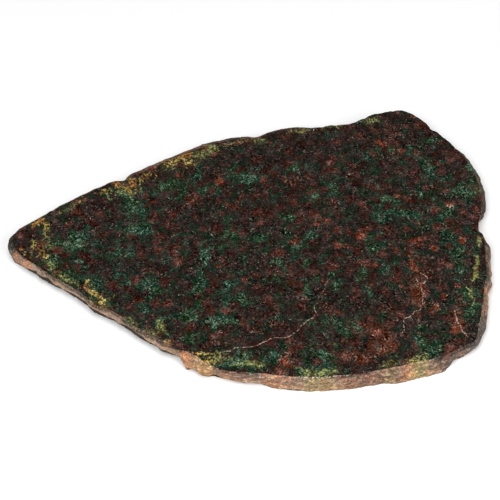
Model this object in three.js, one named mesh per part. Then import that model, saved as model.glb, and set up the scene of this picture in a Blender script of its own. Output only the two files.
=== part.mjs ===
// A sawn slab of eclogite, a rock of dark red garnet in green omphacite, as a mineral cabinet keeps it.
// The slab was cut from a cobble by two parallel saw cuts. Its upper face is polished flat and its lower
// face is left as sawn. Between them runs the cobble's own weathered skin, which was never worked: it
// bulges, undercuts, steps at old fractures and carries pits where grains fell out.
//
// Units are millimetres. +Z is the polished face's outward normal and z = 0 is the sawn face that the
// slab lies on. The origin is the middle of the slab's bounding box on that face, and X is its length.

import * as THREE from "three";
import { ImprovedNoise } from "three/addons/math/ImprovedNoise.js";

// ---------------------------------------------------------------- driving dimensions
const THICKNESS = 8; // between the two saw cuts
const RIM_STEP = 1.5; // spacing of the rim's vertices along the outline
const RING_SHARES = [0, 0.07, 0.17, 0.3, 0.44, 0.58, 0.72, 0.87, 1]; // depth of each ring of the rim
const LIP_SHARE = 0.12; // depth at which the rim has reached its lip
const BELLY_SHARE = 0.45; // depth at which the rim has reached its belly
const FLARE_BLEND = 3; // length over which one stretch's flare passes into the next

// The natural skin's relief. Sizes are across a bump, and heights are to either side of the plain flare.
const SWELLS = { size: 11, height: 0.35 };
const LUMPS = { size: 3.6, height: 0.28 };
const EDGE_WEAR = { size: 3.2, height: 0.2 }; // moves the sawn faces' edges too, within their planes
const LEDGE = { depth: 0.55, share: 0.5, climb: 0.22, softness: 0.08, wander: 26, reach: 14 };
const PITS = { count: 44, radius: [1.3, 2.6], depth: [0.3, 0.7], shares: [0.22, 0.82] };
const RELIEF_FADE = { top: 0.25, foot: 0.15 }; // shares of the depth over which the relief fades out

// The edge of the polished face, counter-clockwise from the blunt tip at -X. Each stretch of the rim stands
// out from that edge by its lip, belly and foot; a negative value is an undercut.
const STRETCHES = [
  {
    // blunt tip
    flare: { lip: 1, belly: 1.9, foot: 1.2 },
    edge: [[-89.2, 6.1], [-88.8, 3.6], [-86.6, -0.4]],
  },
  {
    // left flank by the tip
    flare: { lip: 0.6, belly: 0.9, foot: -1.4 },
    edge: [[-84.2, -3.1], [-76.8, -8.9]],
  },
  {
    // left flank, undercut
    flare: { lip: 0.3, belly: 0.2, foot: -2.2 },
    edge: [[-73.5, -12], [-69.7, -14.3], [-65.4, -17.4], [-61.6, -19.9], [-58.8, -22.9], [-55.4, -26]],
  },
  {
    // left flank, swelling
    flare: { lip: 0.5, belly: 1, foot: -1.7 },
    edge: [[-50.9, -27.9], [-46.8, -30.3]],
  },
  {
    // left flank, hollow
    flare: { lip: 0.5, belly: 0.4, foot: -2.2 },
    edge: [[-43.4, -33.2], [-40.5, -35.8]],
  },
  {
    // left flank, fullest before the step
    flare: { lip: 0.6, belly: 1.2, foot: -1.6 },
    edge: [[-36.5, -37.9], [-30.8, -42]],
  },
  {
    // step where a chip broke away
    flare: { lip: 0.1, belly: -0.3, foot: -2.5 },
    edge: [[-25.6, -45.6], [-23.7, -46.2]],
  },
  {
    // proud shoulder past the step
    flare: { lip: 1.3, belly: 3.4, foot: 2.5 },
    edge: [[-21.5, -46.8]],
  },
  {
    // shoulder, easing into the front rim
    flare: { lip: 1, belly: 2, foot: 0.7 },
    edge: [[-18.9, -48.4], [-16.6, -50.5]],
  },
  {
    // front rim, turning under
    flare: { lip: 0.7, belly: 0.7, foot: -1.1 },
    edge: [[-13.4, -52.5]],
  },
  {
    // front rim, leaning in
    flare: { lip: 0.5, belly: -0.1, foot: -2 },
    edge: [[-10.4, -54.1], [-6.2, -54.9]],
  },
  {
    // front rim, hollow at the foot
    flare: { lip: 0.6, belly: 0.5, foot: -1.4 },
    edge: [[-0.7, -55.4], [3.4, -55.7]],
  },
  {
    // front rim, easing upright
    flare: { lip: 0.6, belly: 0.9, foot: 0.1 },
    edge: [[7.6, -56.2]],
  },
  {
    // front rim, upright
    flare: { lip: 0.4, belly: 0.9, foot: 0.5 },
    edge: [[16.9, -57.1], [24.8, -57.2], [35.6, -56.1], [45, -54.3]],
  },
  {
    // front rim, leaning out
    flare: { lip: 0.7, belly: 1.8, foot: 1.7 },
    edge: [[53.8, -52.2], [58.5, -50.7], [63.4, -49.6], [68.1, -47.8]],
  },
  {
    // front corner
    flare: { lip: 0.6, belly: 0.6, foot: -0.8 },
    edge: [[72.6, -45.4], [77, -43.1], [79.6, -41]],
  },
  {
    // right flank, rounding up from the corner
    flare: { lip: 1, belly: 1.9, foot: 0.9 },
    edge: [[80.8, -37.3]],
  },
  {
    // right flank, by the corner
    flare: { lip: 1.2, belly: 2.6, foot: 1.8 },
    edge: [[82.2, -32], [83.2, -27.6], [84.3, -22.2]],
  },
  {
    // right flank, flatter for a little
    flare: { lip: 1, belly: 1.5, foot: 0.9 },
    edge: [[85.2, -17.6]],
  },
  {
    // right flank, below the notch
    flare: { lip: 1.2, belly: 2.5, foot: 1.8 },
    edge: [[86.6, -11.5], [87.1, -2.9], [87.4, 3.9]],
  },
  {
    // notch in the right flank
    flare: { lip: 0.1, belly: -0.3, foot: -1.4 },
    edge: [[87.3, 7.9], [86, 9.5], [86.4, 13.2], [87.7, 18.6]],
  },
  {
    // right flank, above the notch
    flare: { lip: 1.1, belly: 2.3, foot: 1.4 },
    edge: [[88.5, 24], [88.6, 29.5], [87.6, 37.6]],
  },
  {
    // knob on the right flank
    flare: { lip: 1.3, belly: 2.7, foot: 1.8 },
    edge: [[86, 42.8], [84.3, 47.8]],
  },
  {
    // right flank, up to the back corner
    flare: { lip: 1, belly: 1.8, foot: 0.8 },
    edge: [[79.4, 55]],
  },
  {
    // sloping back corner
    flare: { lip: 0.4, belly: 0.5, foot: -0.7 },
    edge: [[74.2, 62.1], [72.5, 63.1], [71.2, 66.1], [68.2, 69.4], [64.8, 72.3], [61.3, 74.1], [58, 73.6]],
  },
  {
    // back rim by the corner
    flare: { lip: 0.3, belly: 0.6, foot: -0.4 },
    edge: [[49.8, 71.6], [45.2, 69], [41, 66.6], [36.2, 65.7], [30.5, 65]],
  },
  {
    // back rim
    flare: { lip: 1.3, belly: 1.5, foot: 0.2 },
    edge: [[25.7, 63.7], [19.3, 63.8], [12.4, 62.7], [6.4, 60.5], [3.6, 58.5], [0, 58.1]],
  },
  {
    // back flank with a worn bevel
    flare: { lip: 2.1, belly: 2.2, foot: 0.6 },
    edge: [
      [-2.6, 58], [-11.1, 56.1], [-19, 53.1], [-26.8, 48.8], [-34.8, 44.3], [-42.3, 39.7], [-46.5, 37.2],
    ],
  },
  {
    // back flank, from the bevel to the tip
    flare: { lip: 1, belly: 1.1, foot: -0.5 },
    edge: [
      [-48.5, 35.2], [-52.3, 34.6], [-57.6, 31.6], [-63.1, 28.2], [-73.7, 20.8], [-80.4, 15.1], [-86.4, 10],
    ],
  },
];

// ---------------------------------------------------------------- the edge of the polished face
const { lerp, smoothstep, clamp } = THREE.MathUtils;

/** Points along the edge, RIM_STEP apart, each with the flare of the station that it is nearest to. */
function sampleEdge() {
  const stations = STRETCHES.flatMap(({ edge, flare }) => edge.map(([x, y]) => ({ x, y, flare })));
  const corners = stations.map(({ x, y }) => new THREE.Vector3(x, y, 0));
  const curve = new THREE.CatmullRomCurve3(corners, true, "centripetal");
  return stations.flatMap((station, i) => {
    const next = stations[(i + 1) % stations.length];
    const gap = Math.hypot(next.x - station.x, next.y - station.y);
    const steps = Math.max(1, Math.round(gap / RIM_STEP));
    return Array.from({ length: steps }, (_, k) => {
      const { x, y } = curve.getPoint((i + k / steps) / stations.length);
      return { x, y, flare: k / steps < 0.5 ? station.flare : next.flare };
    });
  });
}

/** Adds to each sample its outward direction, the mean flare about it and its distance along the edge. */
function finishSamples(samples) {
  const around = (i) => samples[(i + samples.length) % samples.length];
  const reach = Math.round(FLARE_BLEND / RIM_STEP / 2);
  let along = 0;
  return samples.map(({ x, y }, i) => {
    const near = Array.from({ length: 2 * reach + 1 }, (_, k) => around(i + k - reach).flare);
    const mean = (level) => near.reduce((sum, flare) => sum + flare[level], 0) / near.length;
    const before = around(i - 2);
    const after = around(i + 2);
    const span = Math.hypot(after.x - before.x, after.y - before.y);
    along += Math.hypot(x - around(i - 1).x, y - around(i - 1).y);
    return {
      x,
      y,
      along,
      outX: (after.y - before.y) / span,
      outY: (before.x - after.x) / span,
      lip: mean("lip"),
      belly: mean("belly"),
      foot: mean("foot"),
    };
  });
}

/** How far the plain rim stands out at a share of the depth: a quick lip, a round belly, then the foot. */
function plainFlare({ lip, belly, foot }, share) {
  if (share < LIP_SHARE) return lip * Math.sin((Math.PI / 2) * (share / LIP_SHARE));
  if (share < BELLY_SHARE) return lerp(lip, belly, smoothstep(share, LIP_SHARE, BELLY_SHARE));
  return lerp(belly, foot, ((share - BELLY_SHARE) / (1 - BELLY_SHARE)) ** 2);
}

// ---------------------------------------------------------------- the natural skin's relief
const perlin = new ImprovedNoise();

/** Smooth noise from -1 to 1 whose bumps are about `size` across. */
function noise(x, y, z, size) {
  const gain = 1.6; // brings the noise's own range of about two thirds up to the full one
  return clamp(gain * perlin.noise(x / size, y / size, z / size), -1, 1);
}

/** Pits at fixed places round a rim of this length, spread by the golden ratio. */
function placePits(length) {
  const golden = (Math.sqrt(5) - 1) / 2;
  return Array.from({ length: PITS.count }, (_, i) => {
    const first = (i * golden) % 1;
    const second = (i * golden * golden * 7) % 1;
    return {
      along: ((i + first) / PITS.count) * length,
      share: lerp(...PITS.shares, first),
      radius: lerp(...PITS.radius, second),
      depth: lerp(...PITS.depth, 1 - second),
    };
  });
}

/** How deep the deepest of the pits, each a shallow bowl, cuts at a place on the rim. */
function pitDepth(pits, length, along, share) {
  const depths = pits.map((pit) => {
    const gap = Math.abs(along - pit.along);
    const across = Math.min(gap, length - gap) / pit.radius;
    const down = ((share - pit.share) * THICKNESS) / pit.radius;
    return pit.depth * (1 - across ** 2 - down ** 2);
  });
  return Math.max(0, ...depths);
}

/** How far the rim steps back below the fracture ledge, which wanders in height and dies away in places. */
function ledgeStep({ x, y, along }, share) {
  const height = LEDGE.share + LEDGE.climb * noise(along, 0, 3, LEDGE.wander);
  const strength = Math.max(0, noise(x, y, 40, LEDGE.reach));
  return LEDGE.depth * strength * smoothstep(share, height - LEDGE.softness, height + LEDGE.softness);
}

/** The relief is full over the middle of the rim and fades out at both sawn faces. */
function reliefStrength(share) {
  return smoothstep(share, 0, RELIEF_FADE.top) * (1 - smoothstep(share, 1 - RELIEF_FADE.foot, 1));
}

/** The rings of the rim, from the polished face's edge down to the sawn face's. */
function makeRings() {
  const samples = finishSamples(sampleEdge());
  const length = samples.at(-1).along;
  const pits = placePits(length);
  return RING_SHARES.map((share) =>
    samples.map((sample) => {
      const { x, y, outX, outY, along } = sample;
      const z = THICKNESS * (1 - share);
      const relief =
        SWELLS.height * noise(x, y, z, SWELLS.size) +
        LUMPS.height * noise(x + 50, y, 1.4 * z, LUMPS.size) -
        ledgeStep(sample, share) -
        pitDepth(pits, length, along, share);
      const wear = EDGE_WEAR.height * noise(x, y + 90, 2.5 * share, EDGE_WEAR.size);
      const out = plainFlare(sample, share) + reliefStrength(share) * relief + wear;
      return new THREE.Vector3(x + out * outX, y + out * outY, z);
    }),
  );
}

// ---------------------------------------------------------------- the solid
/** The triangles between each ring and the next, two to a place, with their diagonals alternating. */
function rimFaces(rings) {
  const count = rings[0].length;
  const faces = [];
  for (let ring = 0; ring < rings.length - 1; ring++) {
    for (let i = 0; i < count; i++) {
      const upper = ring * count + i;
      const upperNext = ring * count + ((i + 1) % count);
      const lower = upper + count;
      const lowerNext = upperNext + count;
      if ((ring + i) % 2) faces.push([upper, lower, upperNext], [upperNext, lower, lowerNext]);
      else faces.push([upper, lower, lowerNext], [upper, lowerNext, upperNext]);
    }
  }
  return faces;
}

/** The flat face across one ring, its triangles facing up. */
function flatFaces(ring, firstIndex) {
  const outline = ring.map(({ x, y }) => new THREE.Vector2(x, y));
  return THREE.ShapeUtils.triangulateShape(outline, []).map((face) => face.map((i) => firstIndex + i));
}

/** One closed surface: the rim's rings and the two sawn faces, centred on its own bounding box in plan. */
function slabGeometry() {
  const rings = makeRings();
  const polished = flatFaces(rings[0], 0);
  const sawn = flatFaces(rings.at(-1), (rings.length - 1) * rings[0].length).map(([a, b, c]) => [a, c, b]);

  const geometry = new THREE.BufferGeometry().setFromPoints(rings.flat());
  geometry.setIndex([...rimFaces(rings), ...polished, ...sawn].flat());
  geometry.computeBoundingBox();
  const middle = geometry.boundingBox.getCenter(new THREE.Vector3());
  geometry.translate(-middle.x, -middle.y, 0);
  geometry.computeVertexNormals();
  return geometry;
}

// ---------------------------------------------------------------- the object
const slab = new THREE.Mesh(
  slabGeometry(),
  new THREE.MeshStandardMaterial({ color: 0x3b2b22, roughness: 0.35, metalness: 0, flatShading: true }),
);
slab.name = "eclogite_slab";

const object = new THREE.Group();
object.add(slab);

export default object;
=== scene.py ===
"""A sawn slab of eclogite: a polished face, a natural weathered rim and a sawn underside, in one stone."""

import functools
import json
import logging
import math
from dataclasses import dataclass
from enum import IntEnum

import bmesh
import bpy
import numpy as np
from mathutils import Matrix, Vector, kdtree
from mathutils.geometry import delaunay_2d_cdt


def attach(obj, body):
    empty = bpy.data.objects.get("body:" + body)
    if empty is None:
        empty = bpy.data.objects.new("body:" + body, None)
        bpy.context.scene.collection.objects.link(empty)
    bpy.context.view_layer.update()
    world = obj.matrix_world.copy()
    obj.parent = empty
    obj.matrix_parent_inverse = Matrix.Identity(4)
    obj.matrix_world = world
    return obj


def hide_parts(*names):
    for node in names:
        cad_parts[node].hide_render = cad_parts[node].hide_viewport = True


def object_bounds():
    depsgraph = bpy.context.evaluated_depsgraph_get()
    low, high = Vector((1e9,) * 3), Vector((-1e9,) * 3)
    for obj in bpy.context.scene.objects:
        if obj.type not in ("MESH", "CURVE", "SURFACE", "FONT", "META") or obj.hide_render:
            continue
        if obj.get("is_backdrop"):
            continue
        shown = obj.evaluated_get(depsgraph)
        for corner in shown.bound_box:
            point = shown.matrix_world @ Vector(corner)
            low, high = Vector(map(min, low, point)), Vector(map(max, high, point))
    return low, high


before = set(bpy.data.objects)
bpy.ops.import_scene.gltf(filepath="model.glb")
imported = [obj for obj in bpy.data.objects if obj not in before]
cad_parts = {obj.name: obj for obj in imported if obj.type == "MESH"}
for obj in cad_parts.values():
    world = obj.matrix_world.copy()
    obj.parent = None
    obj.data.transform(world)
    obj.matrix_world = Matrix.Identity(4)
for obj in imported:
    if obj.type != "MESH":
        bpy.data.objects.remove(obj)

SOLID_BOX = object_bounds()
NODE = "eclogite_slab"
BODY = "root"
MM = 0.001
LOG = logging.getLogger("slab")

Colour = tuple[float, float, float, float]
Socket = bpy.types.NodeSocket
Number = float | Socket
Fields = dict[str, Socket]
Ramp = dict[float, Colour]
# A weight is a factor and an offset. A window is the two values between which something fades in, and then
# its strength before and after, where that isn't 0 and 1.
Weight = tuple[float, float]
Window = tuple[float, ...]


# ---------------------------------------------------------------- where the minerals and stains lie
@dataclass(frozen=True)
class Patch:
    """A soft elliptic patch on the plan: its centre, half length and half width in millimetres, its turn
    in degrees and its strength.
    """

    x: float
    y: float
    length: float
    width: float
    turn: float = 0.0
    strength: float = 1.0

    def weight(self, points: np.ndarray) -> np.ndarray:
        """How strongly the patch shows at each point.

        Args:
            points: x and y of each point, in millimetres.

        Returns:
            One weight from 0 to 1 for each point.
        """
        cos, sin = math.cos(math.radians(self.turn)), math.sin(math.radians(self.turn))
        east = points[:, 0] - self.x
        north = points[:, 1] - self.y
        along = (east * cos + north * sin) / self.length
        across = (north * cos - east * sin) / self.width
        return self.strength * np.exp(-(along**2) - across**2)


def cover(patches: list[Patch], points: np.ndarray) -> np.ndarray:
    """Joins patches into one field.

    Args:
        patches: the patches of one mineral or stain.
        points: x and y of each point, in millimetres.

    Returns:
        One value from 0, bare, to 1, covered, for each point.
    """
    bare = np.ones(len(points))
    for patch in patches:
        bare *= 1 - patch.weight(points)
    return 1 - bare


@dataclass(frozen=True)
class Line:
    """A fine line on the polished face: a healed crack, or a thread of stain, which has no depth.

    The course, half width and depth are in millimetres, the strength says how clearly the line shows, and
    the kink says how far its straight runs are bent, as a share of their length.
    """

    course: tuple[tuple[float, float], ...]
    half_width: float
    depth: float
    strength: float
    kink: float = 0.11

    def path(self) -> np.ndarray:
        """The course with the small kinks of a natural line.

        Returns:
            x and y of each corner, in millimetres.
        """
        points = np.array(self.course)
        rng = np.random.default_rng(len(self.course))
        for _ in range(2):
            runs = np.diff(points, axis=0)
            bend = rng.normal(0, self.kink, (len(runs), 1)) * np.column_stack([-runs[:, 1], runs[:, 0]])
            middles = points[:-1] + runs / 2 + bend
            points = np.insert(points, np.arange(1, len(points)), middles, axis=0)
        return points

    def stations(self, step: float) -> tuple[np.ndarray, np.ndarray]:
        """Points along the course and the direction across it there.

        Args:
            step: distance between points, in millimetres.

        Returns:
            The points, and a unit vector across the course at each of them.
        """
        corners = self.path()
        lengths = np.hypot(*np.diff(corners, axis=0).T)
        at = np.concatenate([[0], np.cumsum(lengths)])
        wanted = np.linspace(0, at[-1], max(2, round(at[-1] / step)))
        points = np.stack([np.interp(wanted, at, corners[:, k]) for k in (0, 1)], axis=1)
        ahead = np.gradient(points, axis=0)
        ahead /= np.linalg.norm(ahead, axis=1, keepdims=True)
        return points, np.stack([-ahead[:, 1], ahead[:, 0]], axis=1)

    def gap(self, points: np.ndarray) -> np.ndarray:
        """How far points are from the course.

        Args:
            points: x and y of each point, in millimetres.

        Returns:
            One distance for each point, in millimetres.
        """
        nearest = np.full(len(points), np.inf)
        path = self.path()
        for begin, end in zip(path, path[1:]):
            run = end - begin
            share = np.clip((points - begin) @ run / (run @ run), 0, 1)
            nearest = np.minimum(nearest, np.linalg.norm(points - begin - share[:, None] * run, axis=1))
        return nearest


def crack(half_width: float, depth: float, strength: float, *course: tuple[float, float]) -> Line:
    """A healed crack, sunk into the face."""
    return Line(course, half_width, depth, strength)


def thread(half_width: float, strength: float, *course: tuple[float, float]) -> Line:
    """A thread of stain, which has colour but no depth."""
    return Line(course, half_width, 0.0, strength)


PATCHES = {
    "green": [
        Patch(-1, 28.4, 6.5, 2.8, 0, 1.5), Patch(-7, 35, 5, 2.6, 110, 0.9), Patch(5, 29.4, 3, 2.4),
        Patch(-34, 24, 6, 3), Patch(-26, 26, 4, 2.5), Patch(-17, 22, 4, 2.6), Patch(-20, 31, 2, 3),
        Patch(-46, 14, 5, 4.5, 0, 0.9), Patch(-41, 11, 3, 5, 0, 0.6), Patch(-49, 20, 3, 3, 0, 0.8),
        Patch(-64, -1, 6, 2.6, 15), Patch(-67, -5, 6, 4, 0, 1.2), Patch(-73, -13, 2.5, 4),
        Patch(-63, -14, 2, 5), Patch(-42, 1, 6, 2.6), Patch(-47, -9, 5, 3), Patch(-57, -23, 4, 3.4),
        Patch(-54, -30, 4, 2.4, -30), Patch(-67, -20, 4, 2.4, -20), Patch(-42, -24, 7, 2.6, -15),
        Patch(-34, -27, 6, 2, -30), Patch(-17, -8, 3, 6), Patch(-8, -1, 3, 5), Patch(4, -2, 2.5, 3),
        Patch(-8, -24, 3, 3.4), Patch(-18, -24, 2.4, 4), Patch(-13, -41, 8, 3.2, 0, 1.2),
        Patch(-22, -38, 4, 3), Patch(-32, -42, 2.6, 3), Patch(-37, -36, 3, 4), Patch(-20, -48, 4, 2.4),
        Patch(-3, -31, 3, 4), Patch(12, -21, 4, 2), Patch(11, -14, 4, 2.4, -30), Patch(21, -14, 3.4, 2.4),
        Patch(17, -7, 3, 2.6), Patch(22, -1, 4, 3.4), Patch(14, 9, 5, 2.4, -20), Patch(25, 19, 2.2, 4),
        Patch(33, 23, 2, 4), Patch(18, 34, 4, 3), Patch(8, 22, 2, 3), Patch(52.5, 16, 4.6, 4, 0, 1.5),
        Patch(57.5, 11, 4, 3, 0, 1.1), Patch(49, 9, 3, 5, 0, 0.8), Patch(44, -4, 3, 5, 20),
        Patch(62, 8, 4.5, 3), Patch(65, 20, 3, 3), Patch(47, 42, 3.4, 2.8), Patch(70, 35, 2.4, 6, 0, 1.5),
        Patch(66, 43, 2.6, 4, 120), Patch(73, 50, 6, 3.4, 30, 0.8), Patch(56, 44, 2.4, 2),
        Patch(83, 22, 5, 4, 0, 1.3), Patch(77, 12, 4, 3, 45), Patch(73, 3, 3, 9), Patch(77, -9, 3, 9),
        Patch(76, 28, 2.4, 2), Patch(85, 33, 2, 5), Patch(79, -28, 3, 6), Patch(79, -37, 3, 5),
        Patch(31, -42, 5, 2.6), Patch(38, -41, 2.6, 3), Patch(34, -46, 2, 4), Patch(21, -51, 2, 4),
        Patch(26, -56, 2.8, 4, 60, 1.3), Patch(8, -58, 3, 2, 0, 1.3), Patch(37, -43, 2, 3, 0, 1.3),
        Patch(60, -50, 3, 5, 0, 1.3), Patch(64, -54, 5, 3, 0, 1.1), Patch(55, -60, 6, 2.4, 20),
        Patch(-4, -59, 8, 3, 0, 1.25), Patch(18, -63, 3, 1.8, 0, 1.4), Patch(28, -62, 3, 2, 0, 1.3),
        Patch(-1, -56, 3, 3, 0, 1.3), Patch(8, -56, 2, 3, 0, 1.3), Patch(50, -18, 3, 4),
        Patch(41, -20, 2.4, 4), Patch(32, -24, 3.4, 3), Patch(43, -28, 2, 5), Patch(20, -27, 2, 3),
    ],
    "rust": [
        Patch(61, -12, 4, 6, 0, 0.6), Patch(67, -14, 4, 5, 0, 0.35), Patch(66, -20, 5, 3, 0, 0.4),
        Patch(61, -25, 3.6, 6, 0, 0.9), Patch(62, -3, 6, 3, 0, 0.5), Patch(61.5, -31, 3, 5, 0, 0.9),
        Patch(43, -45, 8, 5, 0, 0.75), Patch(36, -56, 10, 4, 0, 0.75), Patch(48, -52, 5, 5, 0, 0.85),
        Patch(12, -58, 3, 5, 0, 1.0), Patch(-11, -49, 7, 4, 0, 0.65), Patch(74, -42, 3, 7),
        Patch(56, 54, 5, 4, 0, 0.5), Patch(-70, 13, 8, 3, 35, 0.5), Patch(66, -35, 3, 3.4, 0, 0.8),
        Patch(50, -36, 7, 3, 30, 0.5), Patch(52, 47, 5, 3, 0, 0.6), Patch(27, 7, 6, 3, -30, 0.8),
        Patch(58, 42, 3, 4, 0, 0.5), Patch(60, 31, 6, 3, 0, 0.5), Patch(-33, -7, 3, 5, 0, 0.5),
        Patch(-5, 16, 3.4, 5, 0, 0.5), Patch(-22, 16, 5, 4, 0, 0.5), Patch(-12, 27, 2, 3),
        Patch(73, 23, 6, 3, 0, 0.6), Patch(42, 0, 2.4, 3, 0, 0.7), Patch(44, 17, 4, 10, 0, 0.4),
        Patch(24, -35, 8, 5, 0, 0.5), Patch(16, 27, 5, 4, 0, 0.5), Patch(32, 14, 4, 6, 0, 0.5),
        Patch(-55, -1, 4, 3, 0, 0.4), Patch(6, -42, 8, 4, 0, 0.4),
    ],
    "ember": [
        Patch(56.5, 19, 1.8, 1.1), Patch(41.5, -1, 2.2, 2), Patch(33, -5.5, 1.6, 2),
        Patch(16, -4, 1.6, 1.6), Patch(60, -16.4, 1.6, 2.2, 0, 1.2), Patch(59.4, -13.4, 1.2, 1.6),
        Patch(68.5, -7.3, 1.8, 1.8), Patch(-37.5, 34, 1.6, 1.2), Patch(-78.5, -5.6, 1.5, 1.1),
        Patch(76, 14.6, 1.8, 1.6, 0, 1.3), Patch(52, 47.6, 2.4, 1.6, 0, 1.1), Patch(59, -10.3, 1.4, 1.2),
        Patch(70.2, -29.6, 1.4, 1.6), Patch(62.5, -3, 1.8, 2.4, 0, 0.8), Patch(79.5, -3, 1.6, 2.4),
        Patch(72.5, -45, 2, 2.4), Patch(75.5, -25, 1.4, 1.6, 0, 0.8), Patch(36, -6, 1.6, 1.6, 0, 0.7),
        Patch(-11.5, 27, 1.6, 2), Patch(12.5, -59, 1.4, 3), Patch(45, -46, 2, 2, 0, 0.8),
        Patch(41, -43, 2, 1.6, 0, 0.7), Patch(29, 7.5, 2, 1.6, 0, 0.8), Patch(-9, 15, 1.6, 1.6, 0, 0.7),
        Patch(46, -15, 1.6, 2, 0, 0.7), Patch(25, 5, 1.6, 1.6), Patch(60, 43, 1.6, 2, 0, 0.8),
        Patch(62, 16, 2, 1.4, 0, 0.7), Patch(55, -25, 2, 1.6, 0, 0.7), Patch(67, -35, 1.8, 1.6),
    ],
    "ochre": [
        Patch(-51.4, 25.2, 2, 1.4, 0, 1.2), Patch(-45.6, 26.0, 1.7, 2.4, 0, 0.95),
        Patch(-54, 22, 5, 1.6, 15, 0.45), Patch(-46.5, 22, 2, 2.4, 0, 0.5),
        Patch(-41, 29.6, 3, 2, 25, 0.85), Patch(-26.4, 40.4, 3, 1.6, 20, 1.15),
        Patch(-30, 37.6, 3, 2, 25, 0.85), Patch(-24, 37.2, 3, 2.4, 0, 0.75),
        Patch(-33, 35.6, 2.4, 1.6, 20, 0.6), Patch(-80.5, 5.5, 3, 1.6, 50, 0.8),
        Patch(-77, 3, 1.6, 3.4, 0, 0.55), Patch(-80.6, -6, 1.2, 3, -10, 0.6),
        Patch(-76.6, -11, 3, 2.2, -35, 0.6), Patch(-59.4, -24.6, 1.6, 2.6, 10, 0.42),
        Patch(-56.4, -28.4, 3.2, 1.6, -40, 0.4), Patch(-53.4, -33, 3.4, 1.6, -34, 0.4),
        Patch(-29, -50.5, 2.4, 1.3, -30, 0.6), Patch(-18, -58.4, 6, 1.6, -12, 1.0),
        Patch(-19.4, -55.4, 2, 0.9, -8, 0.8), Patch(36, 56.6, 5, 1.2, 10, 0.4),
        Patch(27, 55.6, 2, 1, 0, 0.4), Patch(82.4, -20, 1.0, 1.4, -8, 0.5),
        Patch(-6, 47.6, 7, 0.7, 18, 0.8), Patch(56.5, -58.6, 2.6, 1.4, 15, 0.7),
        Patch(-20, -60, 5, 2.4, 0, 1.2), Patch(-65, 16.6, 4, 1, 32, 0.6), Patch(-56, -32.6, 6, 1, -32, 0.5),
    ],
    "olive": [
        Patch(-70, 12, 6, 1.4, 35, 0.4), Patch(-76, 0, 2, 4, 0, 0.5), Patch(-19, 41, 3, 2.4, 30, 1.0),
        Patch(-15, 44, 3, 2, 0, 1.1), Patch(-47, 21.5, 5, 2, 10, 0.8), Patch(-31, 34, 4, 1.6, 20, 0.5),
        Patch(3, 49, 4, 1.6, 0, 0.8), Patch(20, 54.2, 5, 1.2, 0, 0.8), Patch(34, 57, 6, 1.2, 10, 0.7),
        Patch(49, 60.4, 4, 1.6, 20, 1.0), Patch(-73.6, -14.5, 3, 2.2, -40, 0.8),
        Patch(-67.6, -21.4, 6, 1.5, -35, 0.7), Patch(83.6, -14.5, 0.9, 4.4, -6, 0.6),
        Patch(-75, -6, 3, 2, -30, 0.6), Patch(-32, -43, 1.6, 2.6, 20, 0.9),
        Patch(-51, -33.6, 4, 1.2, -30, 0.5), Patch(-43, -41, 3, 2, -38, 0.75),
        Patch(-35, -46.6, 3, 2, -38, 0.8), Patch(-12, -57, 3, 2, 0, 0.7), Patch(1, -59.6, 7, 1.8, 0, 0.6),
        Patch(-6, -56.4, 3, 2, 0, 0.4), Patch(20, -63, 2.4, 1.4, 0, 0.8),
        Patch(28, -62.6, 2.4, 1.2, 0, 0.8), Patch(48, -59.6, 3.4, 1.6, 15, 0.8),
        Patch(58.6, -57.6, 3.8, 2.4, 20, 0.95), Patch(24, -65, 6, 2.4, 0, 0.9),
        Patch(80, -29, 1.3, 4, 0, 0.5), Patch(87, 22, 1.4, 3, 0, 0.5), Patch(85.4, -3, 1.2, 3, 0, 0.6),
    ],
    "dusky": [
        Patch(30, -33, 12, 9), Patch(76, 46, 10, 12), Patch(6, 42, 12, 6), Patch(30, 48, 10, 6),
        Patch(-66, 8, 8, 4, 30), Patch(-12, -49, 8, 5), Patch(55, 55, 12, 7), Patch(40, 14, 6, 10),
        Patch(66, -12, 5, 10), Patch(30, 5, 7, 6), Patch(-84, -2, 5, 6), Patch(44, -54, 12, 6),
        Patch(22, 30, 10, 5), Patch(-8, 38, 6, 5), Patch(78, -45, 5, 6), Patch(-55, 5, 4, 5),
        Patch(84, 12, 4, 4), Patch(58, -38, 6, 5), Patch(5, 12, 5, 4), Patch(-25, 10, 8, 4),
        Patch(90, -10, 3, 20), Patch(88, -34, 3, 14, -12, 0.8), Patch(90, 25, 3, 14),
        Patch(72, -57, 8, 3, 30, 0.9), Patch(43, -62, 12, 2.4, 9, 0.8), Patch(69, -54.6, 8, 2.4, 24, 0.7),
        Patch(-88, -6, 4, 7, 0, 1.1), Patch(83, -42, 3, 9, -14, 0.9),
    ],
    # Along the back and right of the rim: painted shade on the sides away from the lamps, laid as darker
    # fresh rock.
    "fresh": [
        Patch(-84, 4, 12, 3, 45), Patch(-68, 18, 14, 4, 30), Patch(-48, 29, 14, 3, 30),
        Patch(-28, 41, 14, 3, 28), Patch(-8, 49, 14, 3, 14), Patch(16, 55, 14, 4, 12),
        Patch(40, 61, 14, 4, 12), Patch(60, 64, 12, 4, 0), Patch(76, 56, 12, 5, -40),
        Patch(86, 38, 5, 14, 0), Patch(89, 16, 3, 12, 0), Patch(88, -3, 3, 6, 0, 0.8),
        Patch(87, -20, 3, 10, 0, 0.45), Patch(83, -40, 4, 8, 0, 0.35), Patch(-89, -2, 4, 4, 0, 0.6),
    ],
    # Where a painted glint of light runs along the front rim's top edge.
    "glint": [
        Patch(25, -65, 10, 3, 4, 0.8),
    ],
    # Where a painted shadow is laid along the rim's foot, under the overhang; the same field also pales the
    # skin a little.
    "foot": [
        Patch(-76, -17, 12, 5, -36, 1.05), Patch(-58, -30, 16, 5, -36, 1.12),
        Patch(-42, -42, 12, 5, -38, 1.12), Patch(-31, -50, 6, 4, -30), Patch(-15, -60, 12, 4, -10, 0.22),
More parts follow.
